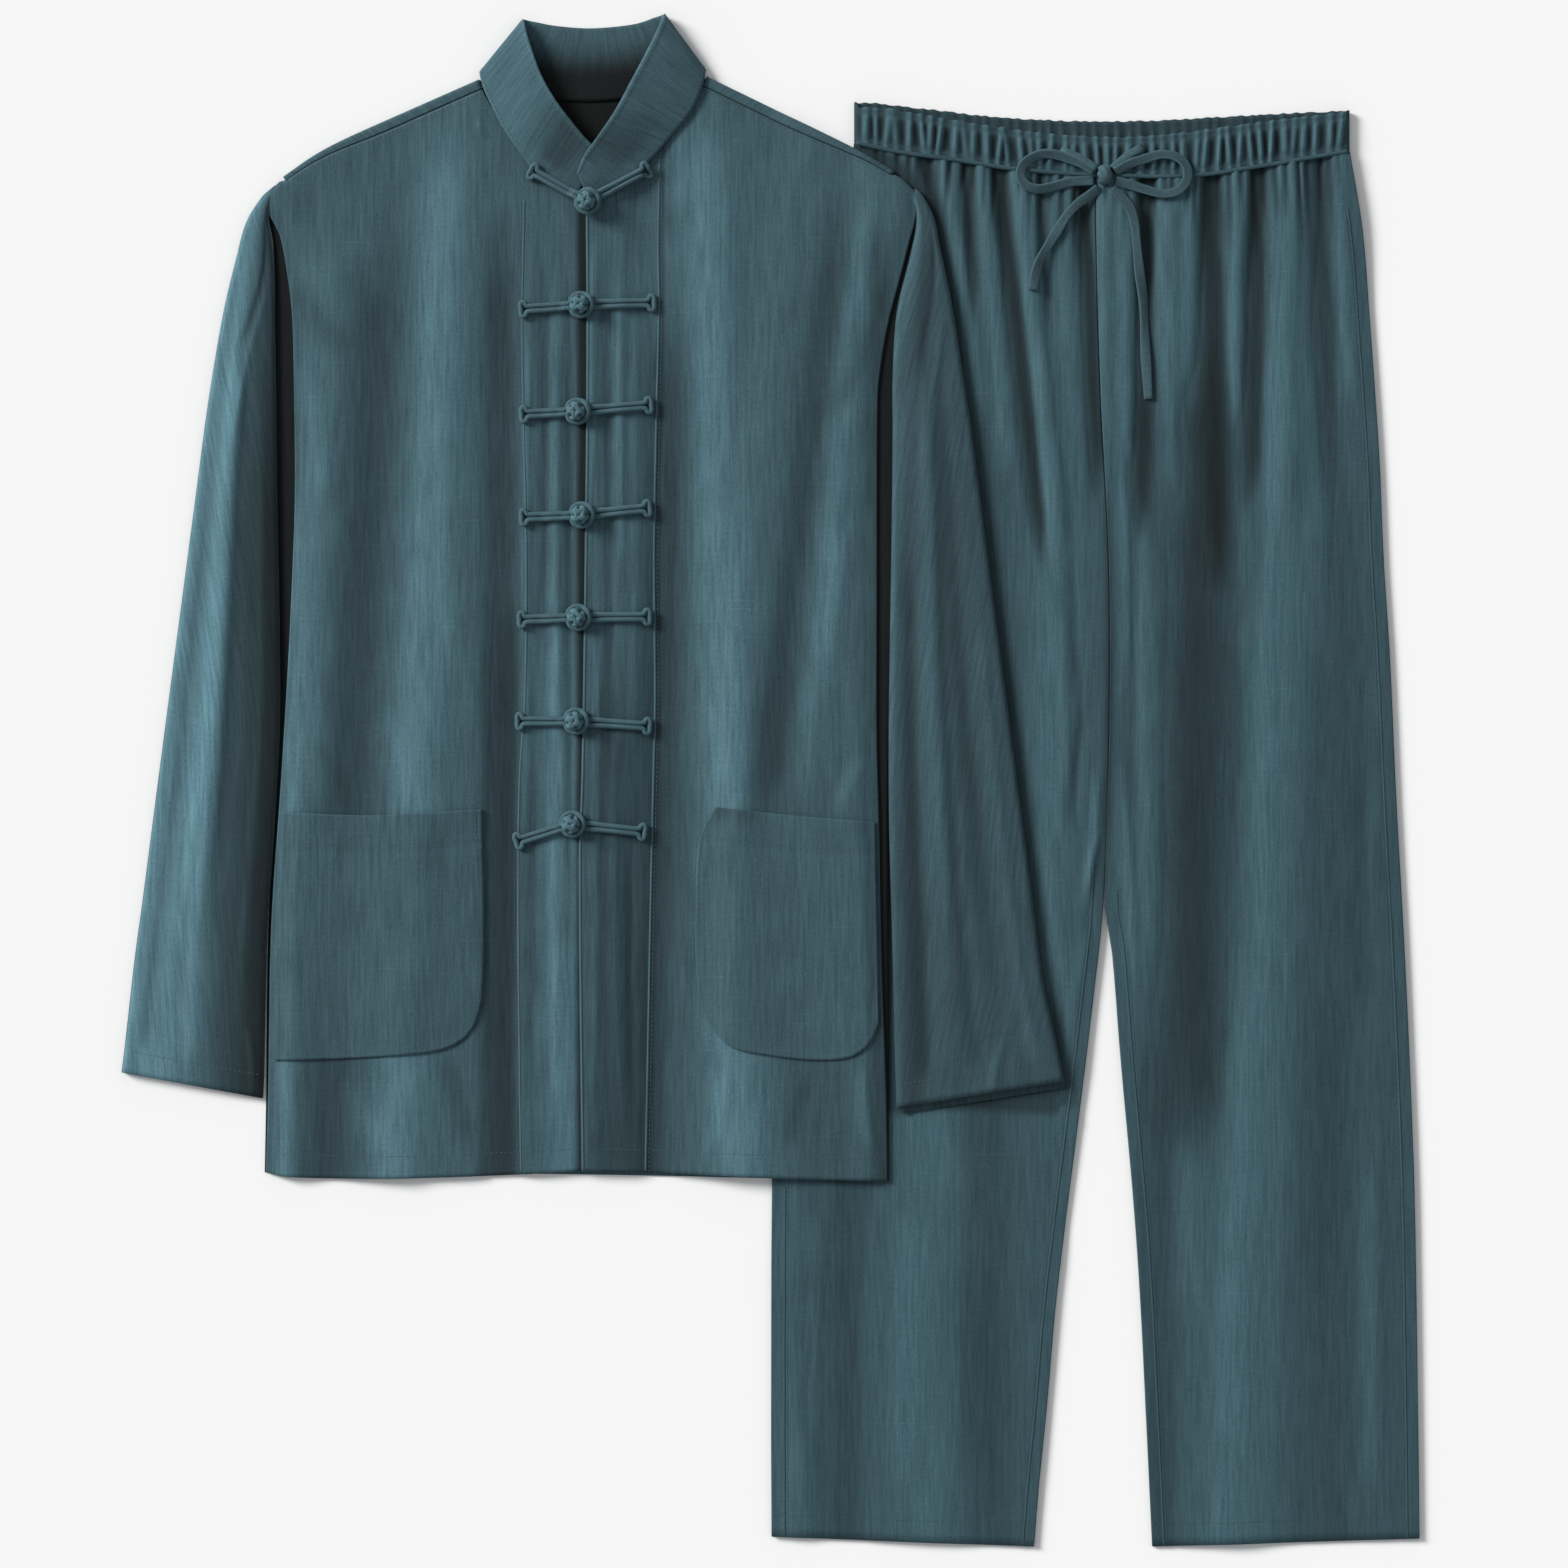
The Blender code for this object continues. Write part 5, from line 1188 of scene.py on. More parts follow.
class UNIFORM_OT_jacket_body(bpy.types.Operator):
    """Make the jacket's back, whose shoulders roll to the front, and its two fronts"""
    bl_idname = "uniform.jacket_body"
    bl_label = "Jacket body"

    def execute(self, context):
        finish = finishes()["jacket_cloth"]
        radius = BODY_HEIGHT / 2
        shoulders = (Line(SHOULDER_LEFT), Line(SHOULDER_RIGHT))
        shoulder_shares = (5 / 19, 8 / 19, 6 / 19)
        top_edge = joined((inset(shoulders[0], radius), Line(NECK_BACK).at, inset(shoulders[1], radius)),
                          shoulder_shares)
        neck_end = shoulder_shares[0] + shoulder_shares[1]
        u = np.concatenate([np.linspace(0, shoulder_shares[0], BACK_COLUMNS[0] + 1)[:-1],
                            np.linspace(shoulder_shares[0], neck_end, BACK_COLUMNS[1] + 1)[:-1],
                            np.linspace(neck_end, 1, BACK_COLUMNS[2] + 1)])
        left = Line(BACK_SIDE_LEFT + [tuple(top_edge(0.0)[0])])
        right = Line(BACK_SIDE_RIGHT + [tuple(top_edge(1.0)[0])])
        grid = patch(Line(BACK_HEM).at, top_edge, left.at, right.at, u, shares(110))
        x, y = grid[..., 0], grid[..., 1]
        side = np.minimum(x - left.x_at_y(y), right.x_at_y(y) - x)
        z = bed(x, y)
        verts = np.dstack([grid, z]).reshape(-1, 3).tolist()
        # Painted shade on the back where it shows in the gaps beside the fronts and sleeves, and inside the
        # neck opening
        neck = ease((y - 395.0) / 22.0) * ease((x + 215.0) / 12.0) * ease((-38.0 - x) / 12.0)
        painted_light_and_yarn_tone = (0.04 + 0.96 * ease((side - 20.0) / 20.0)) * (1.0 - 0.98 * neck)
        painted_light_values = painted_light_and_yarn_tone.ravel().tolist()
        uv = map_of(grid).reshape(-1, 2).tolist()
        rows, columns = grid.shape[:2]
        faces = quads(rows, columns)[0][:, ::-1].tolist()
        angles = np.radians([20, 40, 60, 80, 100, 120, 140, 160, 180])
        spans = ((shoulders[0], 0, BACK_COLUMNS[0]), (shoulders[1], sum(BACK_COLUMNS[:2]), BACK_COLUMNS[2]))
        for line, first, count in spans:
            t = np.linspace(0, 1, count + 1)
            name = "left" if first == 0 else "right"
            base, outline = inset(line, radius)(t), inset(line, 0.0)(t)
            ahead = (outline - base) / radius
            floor_z = bed(base[:, 0], base[:, 1])
            last = [(rows - 1) * columns + first + i for i in range(count + 1)]
            tip = t if name == "left" else 1.0 - t
            tall = 0.55 + 0.45 * ease(tip / 0.2)
            reach = strip_width(name)(t)
            stops = [(radius * math.sin(a) + 0 * t, radius * (1 - math.cos(a)) * tall, radius * a + 0 * t)
                     for a in angles]
            stops += [(-reach * k / 4, 2 * radius * tall, radius * math.pi + reach * k / 4)
                      for k in range(1, 5)]
            for across, rise, far in stops:
                ring = np.column_stack([base + ahead * across[:, None], floor_z + rise])
                here = list(range(len(verts), len(verts) + count + 1))
                verts += ring.tolist()
                uv += (base + ahead * far[:, None]).tolist()
                painted_light_values += [1.0] * (count + 1)
                faces += [[last[i], here[i], here[i + 1], last[i + 1]] for i in range(count)]
                last = here
        uv = np.array(uv)
        back = new_piece("jacket_back_cloth", verts, faces, uv[np.array(faces).ravel()], painted_light_values, finish)
        walled(back, context.scene.uniform_cloth.thickness, True)
        dress(back, "jacket_cloth", "jacket_back")

        seams = [inset(line, lambda t, side=side: strip_width(side)(t) + radius + 2 * GAP)
                 for line, side in zip(shoulders, ("left", "right"))]
        fronts = (
            ("jacket_front_left", HEM_LEFT,
             joined((Line(CORNER_LEFT).at, seams[0], Line(NECK_FRONT_LEFT).at), (0.07, 0.53, 0.4)),
             Line(JACKET_SIDE_LEFT), Line(CENTRE_LEFT), front_left_lower),
            ("jacket_front_right", HEM_RIGHT,
             joined((Line(NECK_FRONT_RIGHT).at, seams[1], Line(CORNER_RIGHT).at), (0.4, 0.53, 0.07)),
             Line(CENTRE_RIGHT), Line(JACKET_SIDE_RIGHT), front_right_lower))
        for name, hem, top_line, left_line, right_line, lower in fronts:
            grid = patch(Line(hem).at, top_line, left_line.at, right_line.at, shares(130, 0.3),
                         shares(170, 0.3))
            x, y = grid[..., 0], grid[..., 1]
            z = lower(x, y)
            left_half = name.endswith("left")
            folds, creases = (FOLDS_LEFT, CREASES_LEFT) if left_half else (FOLDS_RIGHT, CREASES_RIGHT)
            # Painted shade and highlight of the folds and creases; then painted shade on the left front along
            # and under the edge of the right front, and in the groove beside the right placket
            painted_light_and_yarn_tone = painted_fold_light(folds, creases, x, y, 0.27, 0.30, 90.0) * painted_relief_light(z, 6, 0.10)
            if left_half:
                covered = CENTRE_X - 2.0 - x
                painted_light_and_yarn_tone = painted_light_and_yarn_tone * (1.0 - 0.9 * ease(1.0 - covered / 6.5))
            else:
                groove = x - Line(PLACKET_RIGHT).x_at_y(y) - 2.4
                painted_light_and_yarn_tone = painted_light_and_yarn_tone * (1.0 - 0.5 * np.exp(-(groove / 1.8) ** 2))
            sheet = cloth_sheet(name + "_cloth", np.dstack([grid, z + CLOTH]), map_of(grid), painted_light_and_yarn_tone, finish)
            dress(sheet, "jacket_cloth", name)
        return {"FINISHED"}


# Points of a sleeve's ring: how many under it, and their shares of its width on top
UNDER_POINTS = 13
TOP_SHARES = np.concatenate([[0.012, 0.03], np.linspace(0.055, 0.955, 46), [0.975, 0.99]])


def sleeve_under(width, tall):
    """The under side of a sleeve's ring, from the outer fold to the tuck beside the body."""
    half = tall / 2
    tuck = min(TUCK_WIDTH, width * 0.2)
    rows = [(0.0, half), (0.12 * half, 0.55 * half), (0.4 * half, 0.2 * half), (half, 0.02)]
    rows += [(t * width, 0.0) for t in (0.15, 0.25, 0.4, 0.55, 0.7)]
    rows += [(width - 2.4 * tuck, 0.0), (width - 1.6 * tuck, 0.4 * SLEEVE_TUCK),
             (width - tuck, SLEEVE_TUCK), (width - 1.2, SLEEVE_TUCK + 0.4)]
    rows = [p for k, p in enumerate(rows) if k < 4 or p[0] > half + 1.0]
    while len(rows) < UNDER_POINTS:
        rows.insert(4, ((rows[3][0] + rows[4][0]) / 2, 0.0))
    return rows


def sleeve_over(width, tall):
    """The upper side of a sleeve's ring, from the body to the outer fold."""
    rows = []
    for t in TOP_SHARES[::-1]:
        z = tall * (1 - 0.22 * ease((t - 0.6) / 0.4))
        edge = min(t, 1 - t) * width
        z *= 0.62 + 0.38 * math.sqrt(min(edge / 3.0, 1.0))
        rows.append((t * width, z))
    return np.array(rows)


class UNIFORM_OT_sleeves(bpy.types.Operator):
    """Make the two sleeves, each a tube folded flat"""
    bl_idname = "uniform.sleeves"
    bl_label = "Sleeves"

    def execute(self, context):
        finish = finishes()["jacket_cloth"]
        sleeves = (("sleeve_left", SLEEVE_LEFT, SLEEVE_CREASES_LEFT, 0.0),
                   ("sleeve_right", SLEEVE_RIGHT, SLEEVE_CREASES_RIGHT, 5.0))
        for name, sections, creases, step in sleeves:
            table = np.array(sections, float)
            middle = (table[:, 0:2] + table[:, 2:4]) / 2
            knots = np.concatenate([[0.0], np.cumsum(np.hypot(*np.diff(middle, axis=0).T))])
            length = knots[-1]
            stops = np.linspace(0.0, length, 151)
            fine = through(knots, table, stops)
            rings, maps, painted_light_values = [], [], []
            for number, (ox, oy, ix, iy, tall) in enumerate(fine):
                outer, inner = np.array([ox, oy]), np.array([ix, iy])
                width = np.hypot(*(inner - outer))
                ahead = (inner - outer) / width
                down = stops[number] / length
                under = sleeve_under(width, tall)
                side_point = (width, (SLEEVE_TUCK + tall) * 0.48)
                over = sleeve_over(width, tall)
                u = over[:, 0] / width
                crease = 0.0
                for c in creases:
                    run = (down - c.y0) / (c.y1 - c.y0)
                    offset = (u - (c.x0 + (c.x1 - c.x0) * run)) * width - c.bow * 4 * run * (1 - run)
                    fade = ease(run / 0.25) * ease((1 - run) / (0.25 if c.y1 < 0.98 else 0.04))
                    spread = c.width * np.where(offset > 0, 1.0, 0.62) * min(1.0, width / 60.0)
                    crease = crease + c.height * fade * np.exp(-(offset / spread) ** 2)
                inner_fade = ease((1 - u) * width / 9.0) * ease(u * width / 5.0)
                over[:, 1] += crease * inner_fade
                over[:, 1] = np.maximum(over[:, 1], 3.4)
                profile = np.concatenate([np.array(under), [side_point], over])
                p = outer[None] + ahead[None] * profile[:, :1]
                drop = np.zeros(len(p))
                if step:
                    last = ease((down - 0.985) / 0.015)
                    drop[1:12] = step * last
                ring = np.column_stack([p[:, 0], p[:, 1] - drop, bed(p[:, 0], p[:, 1]) + profile[:, 1]])
                rings.append(ring)
                walk = np.concatenate([[0.0], np.cumsum(np.hypot(*np.diff(profile, axis=0).T))])
                walk = np.append(walk, walk[-1] + 1.0)
                maps.append(np.column_stack([walk, np.full(len(walk), -stops[number])]))
                # Painted light: the under side darker, painted shade where the sleeve tucks beside the body,
                # a painted highlight on the side towards the key light, and painted shade and highlight of
                # the creases
                shade = np.ones(len(profile))
                shade[:UNDER_POINTS + 1] = 0.6
                share = profile[UNDER_POINTS + 1:, 0] / width
                inward = (1 - share) * width
                if step:
                    painted_tuck_shade = 0.45 * np.exp(-((inward - 14.0) / 9.0) ** 2) * float(ease(down / 0.2))
                else:
                    painted_tuck_shade = (0.45 + 0.4 * float(ease(down / 0.4))) * np.exp(
                        -(inward / (7.0 + 20.0 * float(ease((down - 0.1) / 0.35)))) ** 2)
                if step:
                    fading = 1.0 - 0.8 * float(ease((down - 0.45) / 0.4))
                    lit = 0.72 + 0.48 * ease((share - 0.5) / 0.35) * fading
                else:
                    lit = 0.80 + 1.35 * (1.0 - ease((share - 0.22) / 0.5))
                shade[UNDER_POINTS + 1:] = lit * (1.0 - painted_tuck_shade) * np.clip(np.exp(0.30 * crease), 0.5, 1.45)
                painted_light_values.append(shade)
            rings = np.array(rings)
            flip = sections[0].outer_x > sections[0].inner_x
            sleeve = cloth_skin(name + "_cloth", rings, np.array(maps), np.array(painted_light_values), finish,
                                CLOTH, True, flip)
            dress(sleeve, "jacket_cloth", name)
        return {"FINISHED"}


class UNIFORM_OT_collar(bpy.types.Operator):
    """Make the stand collar"""
    bl_idname = "uniform.collar"
    bl_label = "Collar"

    def execute(self, context):
        finish = finishes()["jacket_cloth"]
        table = np.array(COLLAR, float)
        count = 200
        at = np.linspace(0, len(COLLAR) - 1, count + 1)
        fine = through(np.arange(len(COLLAR)), table, at)
        fine[:, 2] = np.maximum(fine[:, 2], 0.0)
        fine[:, 5] = np.maximum(fine[:, 5], 0.0)
        neck = Line(NECK_BACK)
        low = fine[:, 2] < LAYER
        fine[low, 1] = np.maximum(fine[low, 1], neck.y_at_x(fine[low, 0]) + 2 * GAP)
        lap = ease(1.0 - fine[:, 2] / LAYER)
        fine[:, 1] -= 3.5 * lap
        fine[:, 2] += (CLOTH + 0.3) * lap
        v = np.linspace(0, 1, 22)
        seam, edge = fine[:, None, :3], fine[:, None, 3:]
        rings = seam + (edge - seam) * v[None, :, None]
        back = np.clip(1.0 - np.abs(at - 10.0) / 2.6, 0, 1)
        front = 1.0 - ease(np.clip(1.0 - np.abs(at - 10.0) / 4.0, 0, 1) * 2)
        swell = np.sin(np.pi * v)[None, :] ** 0.7 * front[:, None] * 0.9
        ripple = 0.35 * np.sin(at * 2.3)[:, None] * np.sin(np.pi * v)[None, :] * front[:, None]
        rings[..., 2] += swell + ripple
        rings[..., 2] += front[:, None] * 0.5 * ease((v - 0.9) / 0.08)[None, :]
        # Painted shade inside the back of the neck and in two folds near the ends; the front's free edge
        # lighter; a painted highlight on the left front of the collar
        painted_light_and_yarn_tone = np.ones(rings.shape[:2])
        painted_neck_shade = ease(back * 3.0)[:, None] * (1.0 - ease((v[None, :] - 0.30) / 0.62))
        painted_light_and_yarn_tone *= 1.0 - 0.97 * painted_neck_shade
        for centre, width, depth in ((1.7, 0.9, 0.5), (18.0, 1.2, 0.42)):
            shadow = np.exp(-((at - centre) / width) ** 2)[:, None]
            painted_light_and_yarn_tone *= 1.0 - depth * shadow * ease((v - 0.12) / 0.3)[None, :]
        painted_light_and_yarn_tone += 0.55 * front[:, None] * ease((v - 0.93) / 0.05)[None, :]
        painted_light_and_yarn_tone *= 1.0 + 0.45 * np.exp(-((at - 4.6) / 1.7) ** 2)[:, None]
        length = np.concatenate([[0.0], np.cumsum(np.hypot(*np.diff(rings[:, 11, :2], axis=0).T))])
        uv = np.stack(np.broadcast_arrays(length[:, None], (v * 54.0)[None, :]), -1)
        collar = cloth_skin("collar_cloth", rings, uv, painted_light_and_yarn_tone, finish, COLLAR_CLOTH - 0.2, False)
        dress(collar, "jacket_cloth", "collar")
        return {"FINISHED"}


class UNIFORM_OT_pockets(bpy.types.Operator):
    """Lay the two patch pockets on the fronts"""
    bl_idname = "uniform.pockets"
    bl_label = "Pockets"

    def execute(self, context):
        finish = finishes()["jacket_cloth"]
        for name, outline, lower in (("pocket_left", POCKET_LEFT, front_left_lower),
                                     ("pocket_right", POCKET_RIGHT, front_right_lower)):
            around = outline[2:]
            split = len(around) // 2
            side = around[:split][::-1]
            if name.endswith("left"):
                foot = around[split - 1:][::-1]
                straight = Line([foot[0][:2], outline[0][:2]])
                edges = (Line(foot).at, Line(outline[:3]).at, straight.at, Line(side).at)
            else:
                foot = around[split - 1:]
                straight = Line([foot[-1][:2], outline[0][:2]])
                edges = (Line(foot).at, Line(outline[2::-1]).at, Line(side).at, straight.at)
            grid = patch(*edges, shares(66, 0.4), shares(66, 0.4))
            x, y = grid[..., 0], grid[..., 1]
            u, v = np.meshgrid(shares(66, 0.4), shares(66, 0.4))
            rim = np.minimum.reduce([u, 1 - u, v]) * 150.0
            puff = 0.9 * ease(rim / 22.0) + 0.7 * ease((v - 0.75) / 0.25) * ease(np.minimum(u, 1 - u) * 6)
            waves = 0.35 * drift(x, y, 16.0, 8 if name.endswith("left") else 9)
            hem = -0.35 * np.exp(-((v - 0.845) / 0.012) ** 2)
            z = lower(x, y) + CLOTH + GAP + puff + waves * ease(rim / 14.0) + hem + 0.15
            # Painted shade and highlight of the pocket's relief, a painted highlight along its rim, and on
            # the right pocket painted shade at an upper corner
            painted_light_and_yarn_tone = painted_relief_light(z, 6, 0.2) * (1.0 + 0.10 * np.exp(-(rim / 2.0) ** 2))
            if name.endswith("right"):
                painted_light_and_yarn_tone = painted_light_and_yarn_tone * (1.0 - 0.30 * ease((v - 0.9) / 0.1) * ease((0.35 - u) / 0.2))
            pocket = cloth_sheet(name + "_cloth", np.dstack([grid, z + POCKET_CLOTH]), map_of(grid), painted_light_and_yarn_tone,
                                 finish, POCKET_CLOTH)
            dress(pocket, "jacket_cloth", name)
        return {"FINISHED"}


def smooth_path(points, count, closed=True):
    """A smooth line through a few points, with many."""
    points = np.asarray(points, float)
    if closed:
        points = np.concatenate([points[-3:], points, points[:3]])
    knots = np.concatenate([[0.0], np.cumsum(np.linalg.norm(np.diff(points, axis=0), axis=1))])
    first, last = (knots[3], knots[-3]) if closed else (knots[0], knots[-1])
    return through(knots, points, np.linspace(first, last, count + (1 if closed else 0))[:count])


class UNIFORM_OT_frogs(bpy.types.Operator):
    """Tie the seven frogs: a loop half, a knotted ball and a knot half each"""
    bl_idname = "uniform.frogs"
    bl_label = "Frogs"

    def execute(self, context):
        finish = finishes()["jacket_cord"]
        radius = context.scene.uniform_cords.frog_cord / MM / 2
        cloth = Drape("jacket_front_left_cloth", "jacket_front_right_cloth", "collar_cloth")
        half = FROG_SPREAD / 2
        for number, frog in enumerate(FROGS, start=1):
            ball = np.array([frog.ball_x, frog.ball_y])
            base = cloth.top(ball[0], ball[1], 7.0)
            ring_radius = KNOT_BALL / 2 + radius + 0.4

            def laid(foot, rows, count):
                ahead = (ball - foot) / np.hypot(*(ball - foot))
                across = np.array([-ahead[1], ahead[0]])
                rows = smooth_path(rows, count)
                xy = foot + rows[:, :1] * ahead + rows[:, 1:2] * across
                near = np.array([max(cloth.top(x, y, 1.8 * radius),
                                     base if np.hypot(x - ball[0], y - ball[1]) < 12.0 else 0.0)
                                 for x, y in xy])
                ends = np.concatenate([near[-4:], near, near[:4]])
                near = np.maximum(np.convolve(ends, np.ones(9) / 9.0, mode="valid"), near - 0.3)
                return np.column_stack([xy, near + GAP + radius + rows[:, 2]])

            def tied(half_name, foot, rows, count):
                rings = swept(laid(foot, rows, count), radius, CORD_SIDES, closed=True)
                piece = cord_piece("frog_%d_%s_cord" % (number, half_name), [cord_mesh(rings, True)], finish)
                dress(piece, "jacket_cord", "frog_%d_%s" % (number, half_name))

            foot = np.array([frog.left_x, frog.left_y])
            reach = float(np.hypot(*(ball - foot)))
            rows = [(x, y, 0.0) for x, y in FOOT][::-1]
            rows += [(reach * 0.25, half, 0.0), (reach * 0.45, half, 0.0), (reach * 0.62, half, 0.0)]
            knot_way = np.array([frog.right_x, frog.right_y]) - ball
            loop_way = ball - foot
            turn = loop_way[0] * knot_way[1] - loop_way[1] * knot_way[0]
            crossing = math.degrees(math.atan2(turn, float(loop_way @ knot_way)))
            for angle in RING_ANGLES:
                a = math.radians(angle)
                lift = (2 * radius + GAP) * float(ease((75 - abs(angle - crossing)) / 40))
                rows.append((reach + ring_radius * math.cos(a), ring_radius * math.sin(a), lift))
            rows += [(reach * 0.62, -half, 0.0), (reach * 0.45, -half, 0.0), (reach * 0.25, -half, 0.0)]
            rows += [(x, -y, 0.0) for x, y in FOOT]
            tied("loop", foot, rows, 190)

            foot = np.array([frog.right_x, frog.right_y])
            reach = float(np.hypot(*(ball - foot))) - BALL_GAP
            rows = [(x, y, 0.0) for x, y in reversed(FOOT)]
            rows += [(reach * 0.3, half, 0.0), (reach * 0.6, half, 0.0), (reach - 1.6, half, 0.0),
                     (reach, 0.0, 0.0), (reach - 1.6, -half, 0.0), (reach * 0.6, -half, 0.0),
                     (reach * 0.3, -half, 0.0)]
            rows += [(x, -y, 0.0) for x, y in FOOT]
            tied("knot", foot, rows, 120)

            t = np.linspace(0, math.tau, 169)[:-1]
            spin = number * 0.9
            lift = 4.5 + 0.6 * np.cos(8 * t)
            lat = 1.05 * np.sin(4 * t)
            woven = np.column_stack([lift * np.cos(lat) * np.cos(3 * t + spin),
                                     lift * np.cos(lat) * np.sin(3 * t + spin), lift * np.sin(lat)])
            centre = np.array([ball[0] - 0.9, ball[1], base + GAP + KNOT_BALL / 2 + 0.6])
            strand = cord_mesh(swept(woven + centre, STRAND_RADIUS, 8, closed=True), True)
            core = round_core(14, 9, CORE_RADIUS, centre)
            # Painted highlight on the ball's strands, painted shade on the core between them
            painted_light_and_yarn_tone = np.concatenate([np.full(len(strand[0]), 1.3), np.full(len(core[0]), 0.5)])
            knob = cord_piece("frog_%d_ball_knot" % number, [strand, core], finish, painted_light_and_yarn_tone)
            dress(knob, "jacket_cord", "frog_%d_ball" % number)
        return {"FINISHED"}


def stitch_tree():
    """A stitch at every step along lines: pitch, length and thickness are its inputs."""
    tree = bpy.data.node_groups.new("stitch_line", "GeometryNodeTree")
    add = tree.interface.new_socket
    add("Geometry", in_out="INPUT", socket_type="NodeSocketGeometry")
    for label, value in (("Pitch", 0.0032), ("Length", 0.0024), ("Thread", 0.0005)):
        add(label, in_out="INPUT", socket_type="NodeSocketFloat").default_value = value
    add("Finish", in_out="INPUT", socket_type="NodeSocketMaterial")
    add("Geometry", in_out="OUTPUT", socket_type="NodeSocketGeometry")
    give = tree.nodes.new("NodeGroupInput")
    take = tree.nodes.new("NodeGroupOutput")
    curve = node(tree, "GeometryNodeMeshToCurve", ("Mesh", give.outputs["Geometry"]))
    dotted = node(tree, "GeometryNodeResampleCurve", ("Curve", curve.outputs[0]),
                  ("Length", give.outputs["Pitch"]), mode="LENGTH")
    ahead = node(tree, "GeometryNodeInputTangent")
    turned = node(tree, "FunctionNodeAlignRotationToVector", ("Vector", ahead.outputs[0]), axis="Z")
    bead = node(tree, "GeometryNodeMeshUVSphere", ("Segments", 6), ("Rings", 3), ("Radius", 1.0))
    uneven = node(tree, "FunctionNodeRandomValue", ("Min", 0.82), ("Max", 1.1), ("Seed", 7),
                  data_type="FLOAT")
    random = [s for s in uneven.outputs if s.enabled][0]
    long = math_node(tree, "MULTIPLY", give.outputs["Length"], random)
    half = math_node(tree, "MULTIPLY", long, 0.5)
    thin = math_node(tree, "MULTIPLY", give.outputs["Thread"], 0.5)
    size = node(tree, "ShaderNodeCombineXYZ", (0, thin), (1, thin), (2, half))
    placed = node(tree, "GeometryNodeInstanceOnPoints", ("Points", dotted.outputs[0]),
                  ("Instance", bead.outputs[0]), ("Rotation", turned.outputs[0]), ("Scale", size.outputs[0]))
    real = node(tree, "GeometryNodeRealizeInstances", ("Geometry", placed.outputs[0]))
    dressed = node(tree, "GeometryNodeSetMaterial", ("Geometry", real.outputs[0]),
                   ("Material", give.outputs["Finish"]))
    tree.links.new(dressed.outputs[0], take.inputs["Geometry"])
    return tree


def along_line(line, step=2.5, start=0.0, end=1.0):
    """Points along a line every few millimetres."""
    count = max(2, int(line.length * (end - start) / step))
    return line.at(np.linspace(start, end, count + 1))


def beside(points, distance):
    """A row of points moved to its right."""
    ahead = np.gradient(points, axis=0)
    ahead /= np.maximum(np.hypot(*ahead.T), 1e-6)[:, None]
    return points + distance * np.column_stack([ahead[:, 1], -ahead[:, 0]])


def on_cloth(points, cloth, lift):
    z = np.array([cloth.top(x, y) for x, y in points])
    return np.column_stack([points, z + lift])


def welt(points, cloth, width, height):
    """A narrow raised seam laid along the cloth: closed, its edges let into it."""
    profile = ((-1.0, -0.25), (-0.6, 0.55 * height), (0.0, height), (0.6, 0.55 * height), (1.0, -0.25),
               (0.0, -0.4))
    rings = []
    for share, rise in profile:
        rings.append(on_cloth(beside(points, share * width), cloth, rise))
    return cord_mesh(np.array(rings).transpose(1, 0, 2), False)


def stitched(name, lines, slot, thread):
    """Stitches along draped lines, as one plain mesh."""
    verts, edges = [], []
    for line in lines:
        start = len(verts)
        verts += (line * MM).tolist()
        edges += [(start + i, start + i + 1) for i in range(len(line) - 1)]
    mesh = bpy.data.meshes.new(name)
    mesh.from_pydata(verts, edges, [])
    thing = bpy.data.objects.new(name, mesh)
    bpy.context.scene.collection.objects.link(thing)
    settings = bpy.context.scene.uniform_stitches
    tree = bpy.data.node_groups.get("stitch_line") or stitch_tree()
    sewing = thing.modifiers.new("Stitches", "NODES")
    sewing.node_group = tree
    values = {"Pitch": settings.pitch, "Length": settings.length, "Thread": settings.thread, "Finish": thread}
    for item in tree.interface.items_tree:
        if item.item_type == "SOCKET" and item.in_out == "INPUT" and item.name in values:
            sewing[item.identifier] = values[item.name]
    made_plain(thing)
    thing.data.shade_smooth()
    return dress(thing, slot)


def thread_finish(name, colour):
    """Sewing thread: twisted, a little smoother than the cloth."""
    material = bpy.data.materials.new(name)
    material.use_nodes = True
    tree = material.node_tree
    shader = tree.nodes["Principled BSDF"]
    place = node(tree, "ShaderNodeTexCoord").outputs["Object"]
    twist = noise(tree, scaled(tree, place, 900.0, 900.0), 2.0, 0.5)
    dark = tuple(0.6 * c for c in colour[:3]) + (1.0,)
    mixed = node(tree, "ShaderNodeMix", ("Factor", twist), (6, dark), (7, tuple(colour)), data_type="RGBA")
    tree.links.new(mixed.outputs[2], shader.inputs["Base Color"])
    relief = node(tree, "ShaderNodeBump", ("Height", twist), ("Strength", 0.3), ("Distance", 0.0002))
    tree.links.new(relief.outputs[0], shader.inputs["Normal"])
    shader.inputs["Roughness"].default_value = 0.7
    return material


